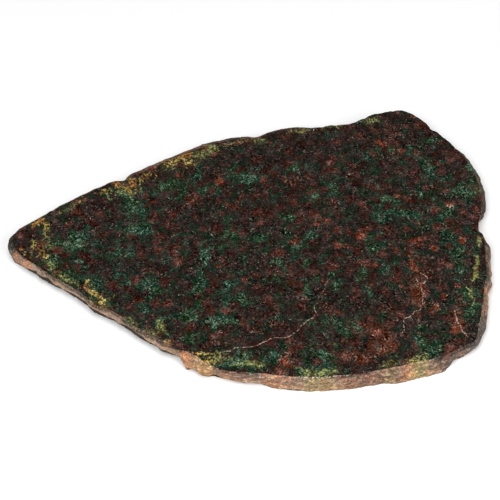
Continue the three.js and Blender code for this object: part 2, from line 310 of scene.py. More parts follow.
        Patch(-24, -53, 2.4, 3, 0, 0.3), Patch(14, -66, 5, 4, 0, 0.18), Patch(0, -64, 10, 4, 0, 0.1),
        Patch(88, -16, 3, 8, 0, 0.4),
    ],
    "lip": [
        Patch(-66, -26, 22, 4, -35, 0.75), Patch(-40, -43, 14, 3, -36, 0.75),
        Patch(-29, -51, 6, 3, -30, 0.5), Patch(88, -18, 3, 14), Patch(-88, -4, 4, 5, 0, 0.8),
        Patch(72, -54, 10, 4, 30, 0.9), Patch(34, -64, 12, 3, 0, 0.4), Patch(-4, -61, 10, 3, 0, 0.5),
        Patch(87, -38, 3, 8),
    ],
    "flame": [
        Patch(-22, -50, 4, 3), Patch(-9, -61, 4, 2, -10, 0.5), Patch(8, -64, 6, 3, 0, 0.55),
        Patch(53.4, -59.6, 2.4, 3, 0, 0.5), Patch(33, -64, 2.6, 2, 0, 0.3),
        Patch(-81.5, -12, 2.4, 1.6, -40, 0.9), Patch(-46, -40, 3, 2, -36, 0.5),
        Patch(-37, -46, 2, 2, -36, 0.7), Patch(26, -65, 3, 2, 0, 0.4), Patch(41, -62.6, 8, 2, 8, 0.25),
        Patch(-22.6, -54.8, 3.2, 2.2, -20, 1.2), Patch(-79.4, 7, 1.8, 1.4),
        Patch(-60, -25.4, 1.4, 3, 0, 0.4), Patch(-54.6, -30.4, 2.4, 1.4, -40, 0.35),
        Patch(-81.8, 4, 1.2, 1.4), Patch(-77, -7.2, 1.6, 0.8), Patch(-85, -8, 2, 1.2),
        Patch(-51.4, 25.4, 2, 1.4), Patch(-24.8, 41.2, 2.6, 1.4), Patch(-28.4, 40.2, 1.6, 1),
        Patch(-45.6, 25.8, 1.6, 2, 0, 1.0), Patch(-40, 29.8, 1.6, 1.2, 0, 0.5), Patch(83.4, -26, 1, 2),
    ],
}

VEINS = [
    crack(0.3, 0.08, 0.8, (29.8, -20.1), (27.4, -25.7), (24.3, -31.7), (23.1, -34)),
    crack(
        0.3, 0.12, 1.08,
        (23.1, -34), (23.8, -37.1), (22.6, -39.4), (19.3, -42.1), (15.3, -46.5), (13.9, -47.8),
        (7.2, -48.7), (4.3, -50.4), (-3.4, -52.6), (-10.4, -54.7),
    ),
    crack(
        0.36, 0.14, 1.05,
        (60.3, -17.2), (62.2, -18.8), (64.5, -20.6), (65, -21.9), (63.5, -23.5), (62.1, -24.8),
        (62.2, -26.8), (63.1, -28.4), (62.3, -30.2), (62.1, -33), (60.8, -36.2), (58.1, -38), (55.8, -39.4),
        (54.6, -40.7), (54.4, -42.9), (54.7, -45.2), (53.1, -47.4),
    ),
    crack(
        0.3, 0.06, 0.62,
        (53.1, -47.4), (51.3, -48.2), (49.4, -49.5), (48, -50.4), (47.1, -52.6), (46.7, -54.7),
    ),
    crack(0.3, 0.05, 0.7, (62.1, -24.8), (58.8, -26.1), (57.2, -25.6), (55.6, -26.4)),
    crack(0.3, 0.05, 0.6, (63.5, -23.5), (61.4, -22.9), (59.8, -23.6)),
    crack(0.3, 0.04, 0.35, (62.1, -24.8), (66.4, -23.4), (70.2, -21.4), (73.4, -19.6)),
    crack(0.3, 0.07, 0.6, (81.3, -1.1), (80.4, -6), (79.5, -13.2), (78.6, -16.6), (80.4, -20.1)),
    crack(0.45, 0.1, 1.15, (73.4, -36.5), (73.8, -39.6), (74.6, -42.7), (75, -45.4), (77.2, -48)),
    crack(0.3, 0.08, 0.8, (70.8, -41.8), (72.6, -45.4), (75, -45.4)),
    crack(0.3, 0.05, 0.45, (12.6, -51.9), (13.2, -56.2), (13.3, -60.1)),
    crack(0.5, 0.08, 0.8, (-13.1, 45.3), (-7.8, 47), (-2.8, 48.1)),
]

OCHRE_THREADS = [
    thread(0.8, 1.3, (-18.6, -55), (-16.8, -54.7), (-15, -55.6), (-13.4, -55.2)),
    thread(0.95, 1.3, (-82.2, 3), (-81.8, 4.6), (-80.6, 5.4), (-79.6, 6.6), (-78.6, 7.2)),
    thread(0.6, 1.1, (-80.2, 5.4), (-78.6, 5.4), (-77.2, 4.7), (-75.2, 4.4)),
    thread(0.7, 0.8, (-76.8, 3.4), (-76.4, 1.4), (-76.7, -1)),
    thread(0.7, 1.1, (-81.2, -3.2), (-80.7, -4.8), (-80.6, -6.8)),
    thread(
        0.6, 1.05,
        (-79.6, -7.2), (-77.6, -8.2), (-76.2, -9.2), (-74.6, -10.4), (-75.1, -12), (-74.8, -13.4),
    ),
    thread(0.8, 0.9, (-86.6, -7.4), (-84.8, -7.5), (-83.4, -8.6), (-84, -10.6)),
    thread(0.6, 0.9, (-82, -8.8), (-81, -10.4), (-80.9, -12)),
    thread(
        0.75, 1.35,
        (-58.7, -22.2), (-60, -23.5), (-60.2, -26.1), (-58.7, -26.6), (-57.4, -28.6), (-54.1, -29.7),
        (-52.4, -31.7),
    ),
    thread(0.5, 0.9, (-58.7, -26.6), (-56.8, -26.9), (-55.6, -28.2), (-54.1, -29.7)),
    thread(0.8, 1.2, (-52.8, 25.8), (-50.8, 24.6), (-48.8, 24), (-47.6, 22.4), (-46.4, 21.2)),
    thread(0.8, 1.35, (-47.8, 23.6), (-46, 24.2), (-45, 25.6), (-45.4, 27.2), (-46.4, 28)),
    thread(0.6, 1.0, (-57.4, 22.6), (-55, 21.4), (-53.6, 20.2)),
    thread(0.55, 0.85, (-42.8, 29.4), (-42.4, 26.6), (-42.7, 24), (-42.3, 21.4)),
    thread(0.5, 0.9, (-41.4, 30.6), (-41, 28.6), (-41.4, 26.6)),
    thread(0.9, 1.3, (-29.2, 39.2), (-26.6, 40.6), (-24.4, 41.8), (-22.8, 42)),
    thread(0.6, 1.15, (-26.6, 40.4), (-25.2, 38.4), (-24.2, 37.2), (-22.6, 36.4), (-21, 34.6)),
    thread(0.5, 1.0, (-24.3, 37.4), (-25.3, 35.6), (-24.6, 33.8)),
    thread(0.5, 0.9, (-29.4, 39.4), (-28.6, 37.4), (-28.9, 35.8)),
    thread(0.5, 0.9, (-33.6, 37), (-32.9, 34.6), (-31.6, 35.8)),
    thread(0.45, 0.8, (-37.4, 30.4), (-36.4, 29.4), (-36.6, 27.8)),
]
OLIVE_THREADS = [
    thread(0.85, 2.2, (83.6, -10.8), (83.8, -13.6), (83, -15.6), (82.8, -18), (82.2, -20), (81.6, -21.8)),
    thread(0.8, 1.6, (82.9, -19.2), (83.4, -21)),
    thread(0.7, 1.2, (85.4, -1.6), (86, -4), (85.4, -6.2)),
    thread(0.55, 1.0, (78.6, -25.6), (79.9, -27.6), (79.3, -29.4), (80.8, -31.4), (80, -33.8)),
    thread(0.7, 1.2, (-19.2, 42.6), (-18.5, 40.8), (-18, 39)),
    thread(0.7, 1.2, (-17.4, 43.2), (-15.4, 44.6), (-14.4, 46.2)),
    thread(0.6, 1.1, (-51.8, 19.6), (-51, 21.8), (-49.2, 22.6), (-48, 21)),
    thread(0.5, 1.0, (-56, 20.8), (-54.6, 18.6), (-52.6, 17.6)),
    thread(0.5, 0.9, (-47.4, 18.6), (-45.2, 17.6), (-43.4, 16.2)),
    thread(0.7, 1.2, (-33, -40.6), (-31.8, -42.4), (-30.8, -45), (-29.4, -46.4)),
    thread(0.5, 0.9, (-52.4, -31.7), (-50.4, -30.7), (-49.3, -29.1)),
    thread(0.5, 0.8, (-61.6, -5.6), (-64.4, -5.4), (-66, -4)),
    thread(0.7, 1.4, (-11.4, -54.5), (-10.4, -57), (-10.2, -59.4)),
    thread(0.7, 1.3, (-7, -60.2), (-3.4, -59.4), (0.2, -59.6), (3.8, -60.9)),
    thread(0.6, 1.1, (-1.8, -54.4), (-2.6, -57), (-0.4, -58.4)),
    thread(0.6, 1.2, (16, -61.4), (18.6, -62.2), (21.4, -61.6)),
]

FIELDS = {
    "minerals": ("green", "rust", "ember"),
    "stains": ("ochre", "olive", "dusky"),
    "rim": ("fresh", "glint", "foot"),
    "edge": ("vein", "lip", "flame"),
}
LINES = {"vein": VEINS, "ochre": OCHRE_THREADS, "olive": OLIVE_THREADS}


# ---------------------------------------------------------------- the shape
class Face(IntEnum):
    """The three kinds of surface on the slab."""

    POLISHED = 0
    RIM = 1
    SAWN = 2


class SolidRings:
    """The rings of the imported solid's rim, read from a merged copy of its mesh."""

    SAME = 1e-6
    LEVEL_FACE = 0.999
    NEIGHBOURS = 4

    def __init__(self, node: bpy.types.Object) -> None:
        """Reads the rings.

        Args:
            node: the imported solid's object, which is left as it is.
        """
        mesh = bmesh.new()
        mesh.from_mesh(node.data)
        bmesh.ops.remove_doubles(mesh, verts=mesh.verts, dist=self.SAME)
        levels = sorted({round(vert.co.z, 6) for vert in mesh.verts}, reverse=True)
        loops = [self._walk(mesh, level) for level in levels]
        mesh.free()
        aligned = [loops[0]]
        for loop in loops[1:]:
            aligned.append(self._align(loop, aligned[-1]))
        self.rings = np.array(aligned) / MM

    def _walk(self, mesh: bmesh.types.BMesh, level: float) -> np.ndarray:
        """The points of one level in order, counter-clockwise from above.

        Args:
            mesh: the merged solid.
            level: the height of the ring, in metres.

        Returns:
            One point for each column of the rim.
        """

        def on_ring(edge: bmesh.types.BMEdge) -> bool:
            """Whether an edge lies in this level with at least one steep face beside it."""
            flat = all(abs(vert.co.z - level) < self.SAME for vert in edge.verts)
            return flat and any(abs(face.normal.z) < self.LEVEL_FACE for face in edge.link_faces)

        start = min((v for v in mesh.verts if abs(v.co.z - level) < self.SAME), key=lambda v: v.co.x)
        points, here, before = [], start, None
        while here is not start or before is None:
            points.append(tuple(here.co))
            steps = [edge.other_vert(here) for edge in here.link_edges if on_ring(edge)]
            onward = [vert for vert in steps if vert is not before]
            chosen = min(onward, key=lambda v: v.co.y) if before is None else onward[0]
            here, before = chosen, here
        return np.array(points)

    def _align(self, loop: np.ndarray, above: np.ndarray) -> np.ndarray:
        """Turns a ring's order so that each point lies under its own column of the ring above.

        Args:
            loop: the ring's points.
            above: the points of the ring above, already in order.

        Returns:
            The same points in the new order.
        """
        count = len(loop)
        near = int(np.argmin(np.linalg.norm(loop[:, :2] - above[0, :2], axis=1)))
        shifts = [(near + k) % count for k in range(-self.NEIGHBOURS, self.NEIGHBOURS + 1)]
        misses = [np.sum((np.roll(loop, -shift, axis=0) - above)[:, :2] ** 2) for shift in shifts]
        return np.roll(loop, -shifts[int(np.argmin(misses))], axis=0)


def cubic(
    before: np.ndarray, start: np.ndarray, end: np.ndarray, after: np.ndarray, share: float
) -> np.ndarray:
    """A point between start and end on the smooth curve through four points.

    Args:
        before: the point before start.
        start: the point at share 0.
        end: the point at share 1.
        after: the point after end.
        share: how far along from start to end.

    Returns:
        The point on the curve.
    """
    lift = 2 * start + (end - before) * share
    bend = (2 * before - 5 * start + 4 * end - after) * share**2
    twist = (3 * start - before - 3 * end + after) * share**3
    return (lift + bend + twist) / 2


@dataclass(frozen=True)
class RimGrid:
    """The rim as a fine grid of rows and columns, in millimetres.

    The edge rows are the depths of the first rows below the edge, and the edge band is where the even rows
    start.
    """

    columns_per_step: int = 4
    row_gap: float = 0.36
    edge_rows: tuple[float, ...] = (0.1, 0.24, 0.44)
    edge_band: float = 0.7

    def rows(self, height: float) -> np.ndarray:
        """Spaces the rows, close together by the two edges.

        Args:
            height: the height of the slab.

        Returns:
            The height of each row, from the top down.
        """
        span = height - 2 * self.edge_band
        middle = np.linspace(self.edge_band, height - self.edge_band, round(span / self.row_gap))
        near = np.array((0.0, *self.edge_rows))
        depths = np.concatenate([near, middle, height - near[::-1]])
        return height - depths

    def points(self, rings: np.ndarray) -> np.ndarray:
        """The grid's points.

        Args:
            rings: the solid's rings, from the top down.

        Returns:
            An array of rows by columns by x, y and z.
        """
        before, after, beyond = (np.roll(rings, turn, 1) for turn in (1, -1, -2))
        shares = [k / self.columns_per_step for k in range(self.columns_per_step)]
        steps = [cubic(before, rings, after, beyond, share) for share in shares]
        dense = np.stack(steps, axis=2).reshape(len(rings), -1, 3)
        levels = rings[:, 0, 2]
        padded = np.concatenate([dense[:1], dense, dense[-1:]])
        result = []
        for height in self.rows(levels[0]):
            above = int(np.clip(np.searchsorted(-levels, -height, side="right") - 1, 0, len(levels) - 2))
            share = (levels[above] - height) / (levels[above] - levels[above + 1])
            row = cubic(*padded[above : above + 4], share)
            row[:, 2] = height
            result.append(row)
        return np.array(result)


@dataclass(frozen=True)
class Pluck:
    """A place in the polished face where a grain was torn out: centre, radius and depth in millimetres.

    Each ring of points has a share of the radius and a count.
    """

    x: float
    y: float
    radius: float
    depth: float
    rings: tuple[tuple[float, int], ...] = ((0.55, 6), (1.0, 9))

    def ring_points(self) -> list[tuple[float, float]]:
        """Places the points that the hollow's shape needs.

        Returns:
            Its centre and two rings of points round it.
        """
        places = [(self.x, self.y)]
        for share, count in self.rings:
            for k in range(count):
                angle = math.tau * (k + share) / count
                reach = share * self.radius
                places.append((self.x + reach * math.cos(angle), self.y + reach * math.sin(angle)))
        return places

    def drop(self, points: np.ndarray) -> np.ndarray:
        """How deep the hollow is at each point, in millimetres."""
        gap = np.hypot(points[:, 0] - self.x, points[:, 1] - self.y) / self.radius
        return self.depth * np.clip(1 - gap**2, 0, 1)


def within(points: np.ndarray, loop: np.ndarray) -> np.ndarray:
    """Which points lie inside a closed loop.

    Args:
        points: x and y of each point.
        loop: x and y of the loop's points, in order.

    Returns:
        True for each point that lies inside.
    """
    x, y = points[:, :1], points[:, 1:]
    end = np.roll(loop, -1, axis=0)
    spans = (loop[:, 1] > y) != (end[:, 1] > y)
    rise = np.where(end[:, 1] == loop[:, 1], 1.0, end[:, 1] - loop[:, 1])
    crossing = loop[:, 0] + (y - loop[:, 1]) * (end[:, 0] - loop[:, 0]) / rise
    return np.count_nonzero(spans & (x < crossing), axis=1) % 2 == 1


def point_tree(points: np.ndarray | list[np.ndarray]) -> kdtree.KDTree:
    """A search tree over points on the plan.

    Args:
        points: x and y of each point.

    Returns:
        The tree, ready to search.
    """
    tree = kdtree.KDTree(max(1, len(points)))
    for i, (x, y) in enumerate(points):
        tree.insert((x, y, 0), i)
    tree.balance()
    return tree


@dataclass(frozen=True)
class FlatSheet:
    """The triangles across one sawn face. Lengths are in millimetres.

    Every point keeps off the outline: the lines and plucked grains by the feature room, the border and the
    lattice by their own shares of the margin. The border and the lattice also keep off the lines and
    plucked grains, by the feature gap, which is a share of the spacing, as the jitter is. Points closer
    than the tolerance count as one.
    """

    spacing: float
    margin: float
    lines: tuple[Line, ...] = ()
    plucks: tuple[Pluck, ...] = ()
    line_step: float = 0.45
    feature_room: float = 0.3
    border_share: float = 0.9
    lattice_share: float = 1.6
    feature_gap: float = 0.55
    jitter: float = 0.22
    tolerance: float = 1e-7
    seed: int = 3

    def _lattice(self, low: np.ndarray, high: np.ndarray) -> np.ndarray:
        """A jittered lattice of points over a box.

        Args:
            low: the box's lowest x and y.
            high: its highest x and y.

        Returns:
            x and y of each point.
        """
        rng = np.random.default_rng(self.seed)
        across = np.arange(low[0], high[0], self.spacing)
        up = np.arange(low[1], high[1], self.spacing * math.sqrt(3) / 2)
        x, y = np.meshgrid(across, up)
        x[1::2] += self.spacing / 2
        lattice = np.stack([x.ravel(), y.ravel()], axis=1)
        return lattice + rng.uniform(-self.jitter, self.jitter, lattice.shape) * self.spacing

    def _features(self) -> np.ndarray:
        """The points that the lines and plucked grains need.

        Returns:
            x and y of each point.
        """
        lots = [np.empty((0, 2))]
        for line in self.lines:
            points, across = line.stations(self.line_step)
            lots += [points, points + across * line.half_width, points - across * line.half_width]
        lots += [np.array(pluck.ring_points()) for pluck in self.plucks]
        return np.concatenate(lots)

    def _fill(self, loop: np.ndarray, outward: np.ndarray) -> np.ndarray:
        """Places points inside a closed loop: the features first, then a border and a lattice.

        Args:
            loop: x and y of the loop's points, counter-clockwise.
            outward: the outward direction at each of them.

        Returns:
            x and y of each new point.
        """
        tree = point_tree(loop)

        def inside(point: np.ndarray, least: float) -> bool:
            """Whether a point lies inside the loop and at least this far from it."""
            _, nearest, gap = tree.find((point[0], point[1], 0))
            return gap > least and float((point - loop[nearest]) @ outward[nearest]) < 0

        kept = [point for point in self._features() if inside(point, self.feature_room)]
        features = point_tree(kept) if kept else None
        border = loop[::2] - outward[::2] * self.margin
        lattice = self._lattice(loop.min(0), loop.max(0))
        for points, share in ((border, self.border_share), (lattice, self.lattice_share)):
            for point in points:
                near = features.find((point[0], point[1], 0))[2] if features else math.inf
                if inside(point, self.margin * share) and near > self.spacing * self.feature_gap:
                    kept.append(point)
        return np.array(kept)

    def build(self, loop: np.ndarray, outward: np.ndarray) -> tuple[np.ndarray, np.ndarray]:
        """Fills a closed loop with triangles.

        Args:
            loop: x and y of the loop's points, counter-clockwise.
            outward: the outward direction at each of them.

        Returns:
            The new points inside the loop, and the triangles over the loop's points followed by the new ones.
        """
        new = self._fill(loop, outward)
        edges = [(i, (i + 1) % len(loop)) for i in range(len(loop))]
        points = np.concatenate([loop, new])
        found = delaunay_2d_cdt([tuple(point) for point in points], edges, [], 0, self.tolerance, True)
        source = [ids[0] for ids in found[3]]
        triangles = np.array([[source[i] for i in face] for face in found[2]])
        doubtful = (triangles < len(loop)).all(axis=1)
        wanted = ~doubtful
        wanted[doubtful] = within(points[triangles[doubtful]].mean(axis=1), loop)
        return new, self._turn_up(triangles[wanted], points)

    @staticmethod
    def _turn_up(triangles: np.ndarray, points: np.ndarray) -> np.ndarray:
        """Turns each triangle so that it faces up.

        Args:
            triangles: three point numbers for each triangle.
            points: x and y of each point.

        Returns:
            The triangles, all counter-clockwise from above.
        """
        a, b, c = (points[triangles[:, k]] for k in range(3))
        area = (b[:, 0] - a[:, 0]) * (c[:, 1] - a[:, 1]) - (b[:, 1] - a[:, 1]) * (c[:, 0] - a[:, 0])
        triangles[area < 0] = triangles[area < 0][:, ::-1]
        return triangles

    def drops(self, points: np.ndarray) -> np.ndarray:
        """How far points lie below the plane, in the lines and plucked grains.

        Args:
            points: x and y of each point.

        Returns:
            One depth for each point.
        """
        drop = np.zeros(len(points))
        for line in self.lines:
            drop = np.maximum(drop, line.depth * np.clip(1 - line.gap(points) / line.half_width, 0, 1))
        for pluck in self.plucks:
            drop = np.maximum(drop, pluck.drop(points))
        return drop


# ---------------------------------------------------------------- node trees
@dataclass(frozen=True)
class Cloud:
    """One cloudy pattern: the size of its clouds, its seed, its finer layers and how far it is swirled."""

    size: Number
    seed: Number
    layers: float = 2.0
    curl: float = 0.0


@dataclass(frozen=True)
class Cells:
    """One pattern of rounded cells with random middles: the distance between middles, and its seed."""

    gap: Number
    seed: Number


class Graph:
    """Short calls that add nodes to a shader or geometry tree."""

    def __init__(self, tree: bpy.types.NodeTree) -> None:
        """Starts on a tree, whose nodes are kept."""
        self.tree = tree

    def add(self, kind: str, inputs: dict | None = None, **settings: object) -> bpy.types.Node:
        """Adds one node.

        Args:
            kind: the node's type.
            inputs: values or sockets for its inputs, by name or index.
            settings: values for its own properties.

        Returns:
            The node.
        """
        node = self.tree.nodes.new(kind)
        for name, value in settings.items():
            setattr(node, name, value)
        self.feed(node, inputs or {})
        return node

    def feed(self, node: bpy.types.Node, inputs: dict) -> None:
        """Links or sets some of a node's inputs.

        Args:
            node: the node.
            inputs: values or sockets for its inputs, by name or index.
        """
        for key, value in inputs.items():
            if isinstance(value, Socket):
                self.tree.links.new(value, node.inputs[key])
            else:
                node.inputs[key].default_value = value

    def math(self, operation: str, *values: Number) -> Socket:
        """One step of arithmetic on numbers."""
        return self.add("ShaderNodeMath", dict(enumerate(values)), operation=operation).outputs[0]

    def weigh(self, value: Number, factor: Number, offset: Number) -> Socket:
        """A number times a factor, plus an offset."""
        return self.math("MULTIPLY_ADD", value, factor, offset)

    def vector(self, operation: str, *values: Vector | tuple | Socket) -> Socket:
        """One step of arithmetic on vectors."""
        node = self.add("ShaderNodeVectorMath", dict(enumerate(values)), operation=operation)
        return node.outputs["Vector"]

    def scaled(self, value: Socket, factor: Number) -> Socket:
        """A vector times a number."""
        node = self.add("ShaderNodeVectorMath", {0: value, "Scale": factor}, operation="SCALE")
        return node.outputs["Vector"]

    def _scale(self, size: Number) -> Number:
        """How many times a pattern of this size goes into one unit."""
        return self.math("DIVIDE", 1.0, size) if isinstance(size, Socket) else 1.0 / size

    def noise(self, at: Socket, cloud: Cloud) -> bpy.types.Node:
        """Cloudy noise.

        Args:
            at: where to read it.
            cloud: its sizes, in the units of at.

        Returns:
            The noise node, with outputs Fac and Color.
        """
        inputs = {
            "Vector": at,
            "Scale": self._scale(cloud.size),
            "W": cloud.seed,
            "Detail": cloud.layers,
            "Distortion": cloud.curl,
        }
        return self.add("ShaderNodeTexNoise", inputs, noise_dimensions="4D")

    def level(self, at: Socket, cloud: Cloud) -> Socket:
        """The grey level of cloudy noise, around 0.5."""
        return self.noise(at, cloud).outputs["Fac"]

    def cells(self, at: Socket, cells: Cells, feature: str = "F1") -> bpy.types.Node:
        """Cells with rounded, random middles.

        Args:
            at: where to read them.
            cells: their sizes, in the units of at.
            feature: F1 for the distance from a middle, or DISTANCE_TO_EDGE.

        Returns:
            The cell node.
        """
        inputs = {"Vector": at, "Scale": self._scale(cells.gap), "W": cells.seed}
        return self.add("ShaderNodeTexVoronoi", inputs, voronoi_dimensions="4D", feature=feature)

    def centred(self, at: Socket, cloud: Cloud, reach: float) -> Socket:
        """Cloudy noise that swings by reach to either side of zero."""
        return self.weigh(self.level(at, cloud), 2 * reach, -reach)

    def seam(self, at: Socket, cloud: Cloud, width: float) -> Socket:
        """Thin winding threads along the middle level of cloudy noise."""
        ridge = self.math("ABSOLUTE", self.centred(at, cloud, 1.0))
        return self.step(ridge, 0.0, width, 1.0, 0.0)

    def step(self, value: Socket, low: Number, high: Number, start: float = 0.0, end: float = 1.0) -> Socket:
        """Passes smoothly from start to end as value goes from low to high."""
        inputs = {"Value": value, "From Min": low, "From Max": high, "To Min": start, "To Max": end}
        return self.add("ShaderNodeMapRange", inputs, interpolation_type="SMOOTHSTEP").outputs["Result"]

    def product(self, *values: Number) -> Socket:
        """Several numbers multiplied together."""
        return functools.reduce(functools.partial(self.math, "MULTIPLY"), values)

    def blend(self, share: Number, first: Colour | Socket, second: Colour | Socket) -> Socket:
        """Mixes two colours.

        Args:
            share: how much of the second.
            first: the colour below.
            second: the colour above.

        Returns:
            The mixed colour.
        """
        return self.add("ShaderNodeMix", {0: share, 6: first, 7: second}, data_type="RGBA").outputs[2]

    def ramp(self, value: Socket, stops: Ramp) -> Socket:
        """Looks a colour up on a ramp.

        Args:
            value: where on the ramp, from 0 to 1.
            stops: the colour at each place.

        Returns:
            The colour.
        """
        node = self.add("ShaderNodeValToRGB", {"Fac": value})
        marks = node.color_ramp.elements
        while len(marks) < len(stops):
            marks.new(0.5)
        for mark, (place, colour) in zip(marks, sorted(stops.items())):
            mark.position = place
            mark.color = colour
        return node.outputs["Color"]

    def parts(self, value: Socket) -> list[Socket]:
        """The three numbers of a vector or colour."""
        return list(self.add("ShaderNodeSeparateXYZ", {0: value}).outputs)

    def bump(self, height: Socket, strength: float, depth: float) -> Socket:
        """The shading of fine relief of this depth, in millimetres."""
        inputs = {"Height": height, "Strength": strength, "Distance": depth * MM}
        return self.add("ShaderNodeBump", inputs).outputs["Normal"]


def new_material(name: str) -> tuple[bpy.types.Material, Graph, bpy.types.Node]:
    """Starts a material.

    Args:
        name: the material's name.

    Returns:
        The material, its tree and its surface shader.
    """
    material = bpy.data.materials.new(name)
    material.use_nodes = True
    return material, Graph(material.node_tree), material.node_tree.nodes["Principled BSDF"]


# ---------------------------------------------------------------- the finishes
def rgb(red: float, green: float, blue: float) -> Colour:
    """An opaque colour, in linear light."""
    return (red, green, blue, 1.0)


GARNET_TONES: Ramp = {
    0.0: rgb(0.0180, 0.0088, 0.0080),
    0.3: rgb(0.0280, 0.0115, 0.0098),
    0.6: rgb(0.0420, 0.0156, 0.0122),
    0.85: rgb(0.0600, 0.0224, 0.0168),
    1.0: rgb(0.0880, 0.0310, 0.0222),
}
OLIVE_TONES: Ramp = {0.35: rgb(0.09, 0.11, 0.03), 0.5: rgb(0.21, 0.23, 0.07), 0.65: rgb(0.44, 0.45, 0.19)}
OCHRE_TONES: Ramp = {0.35: rgb(0.24, 0.155, 0.032), 0.5: rgb(0.46, 0.315, 0.070), 0.65: rgb(0.70, 0.55, 0.21)}
FLOOR_TONES: Ramp = {0.3: rgb(0.86, 0.86, 0.86), 0.7: rgb(0.89, 0.89, 0.89)}
GREY_SKIN: Ramp = {0.3: rgb(0.100, 0.069, 0.058), 0.5: rgb(0.180, 0.126, 0.104), 0.7: rgb(0.30, 0.225, 0.185)}
TAN_SKIN: Ramp = {0.3: rgb(0.20, 0.112, 0.064), 0.5: rgb(0.36, 0.216, 0.126), 0.7: rgb(0.53, 0.36, 0.23)}
MAUVE_SKIN: Ramp = {0.3: rgb(0.118, 0.06, 0.044), 0.5: rgb(0.205, 0.114, 0.084), 0.7: rgb(0.31, 0.187, 0.142)}
DRAB_SKIN: Ramp = {0.3: rgb(0.058, 0.05, 0.044), 0.5: rgb(0.106, 0.093, 0.082), 0.7: rgb(0.185, 0.165, 0.148)}


@dataclass(frozen=True)
class Pattern:
    """The sockets of a fresh cut: its colour, how much is garnet, and the grain of its light and dark."""

    colour: Socket
    garnet: Socket
    grain: Socket


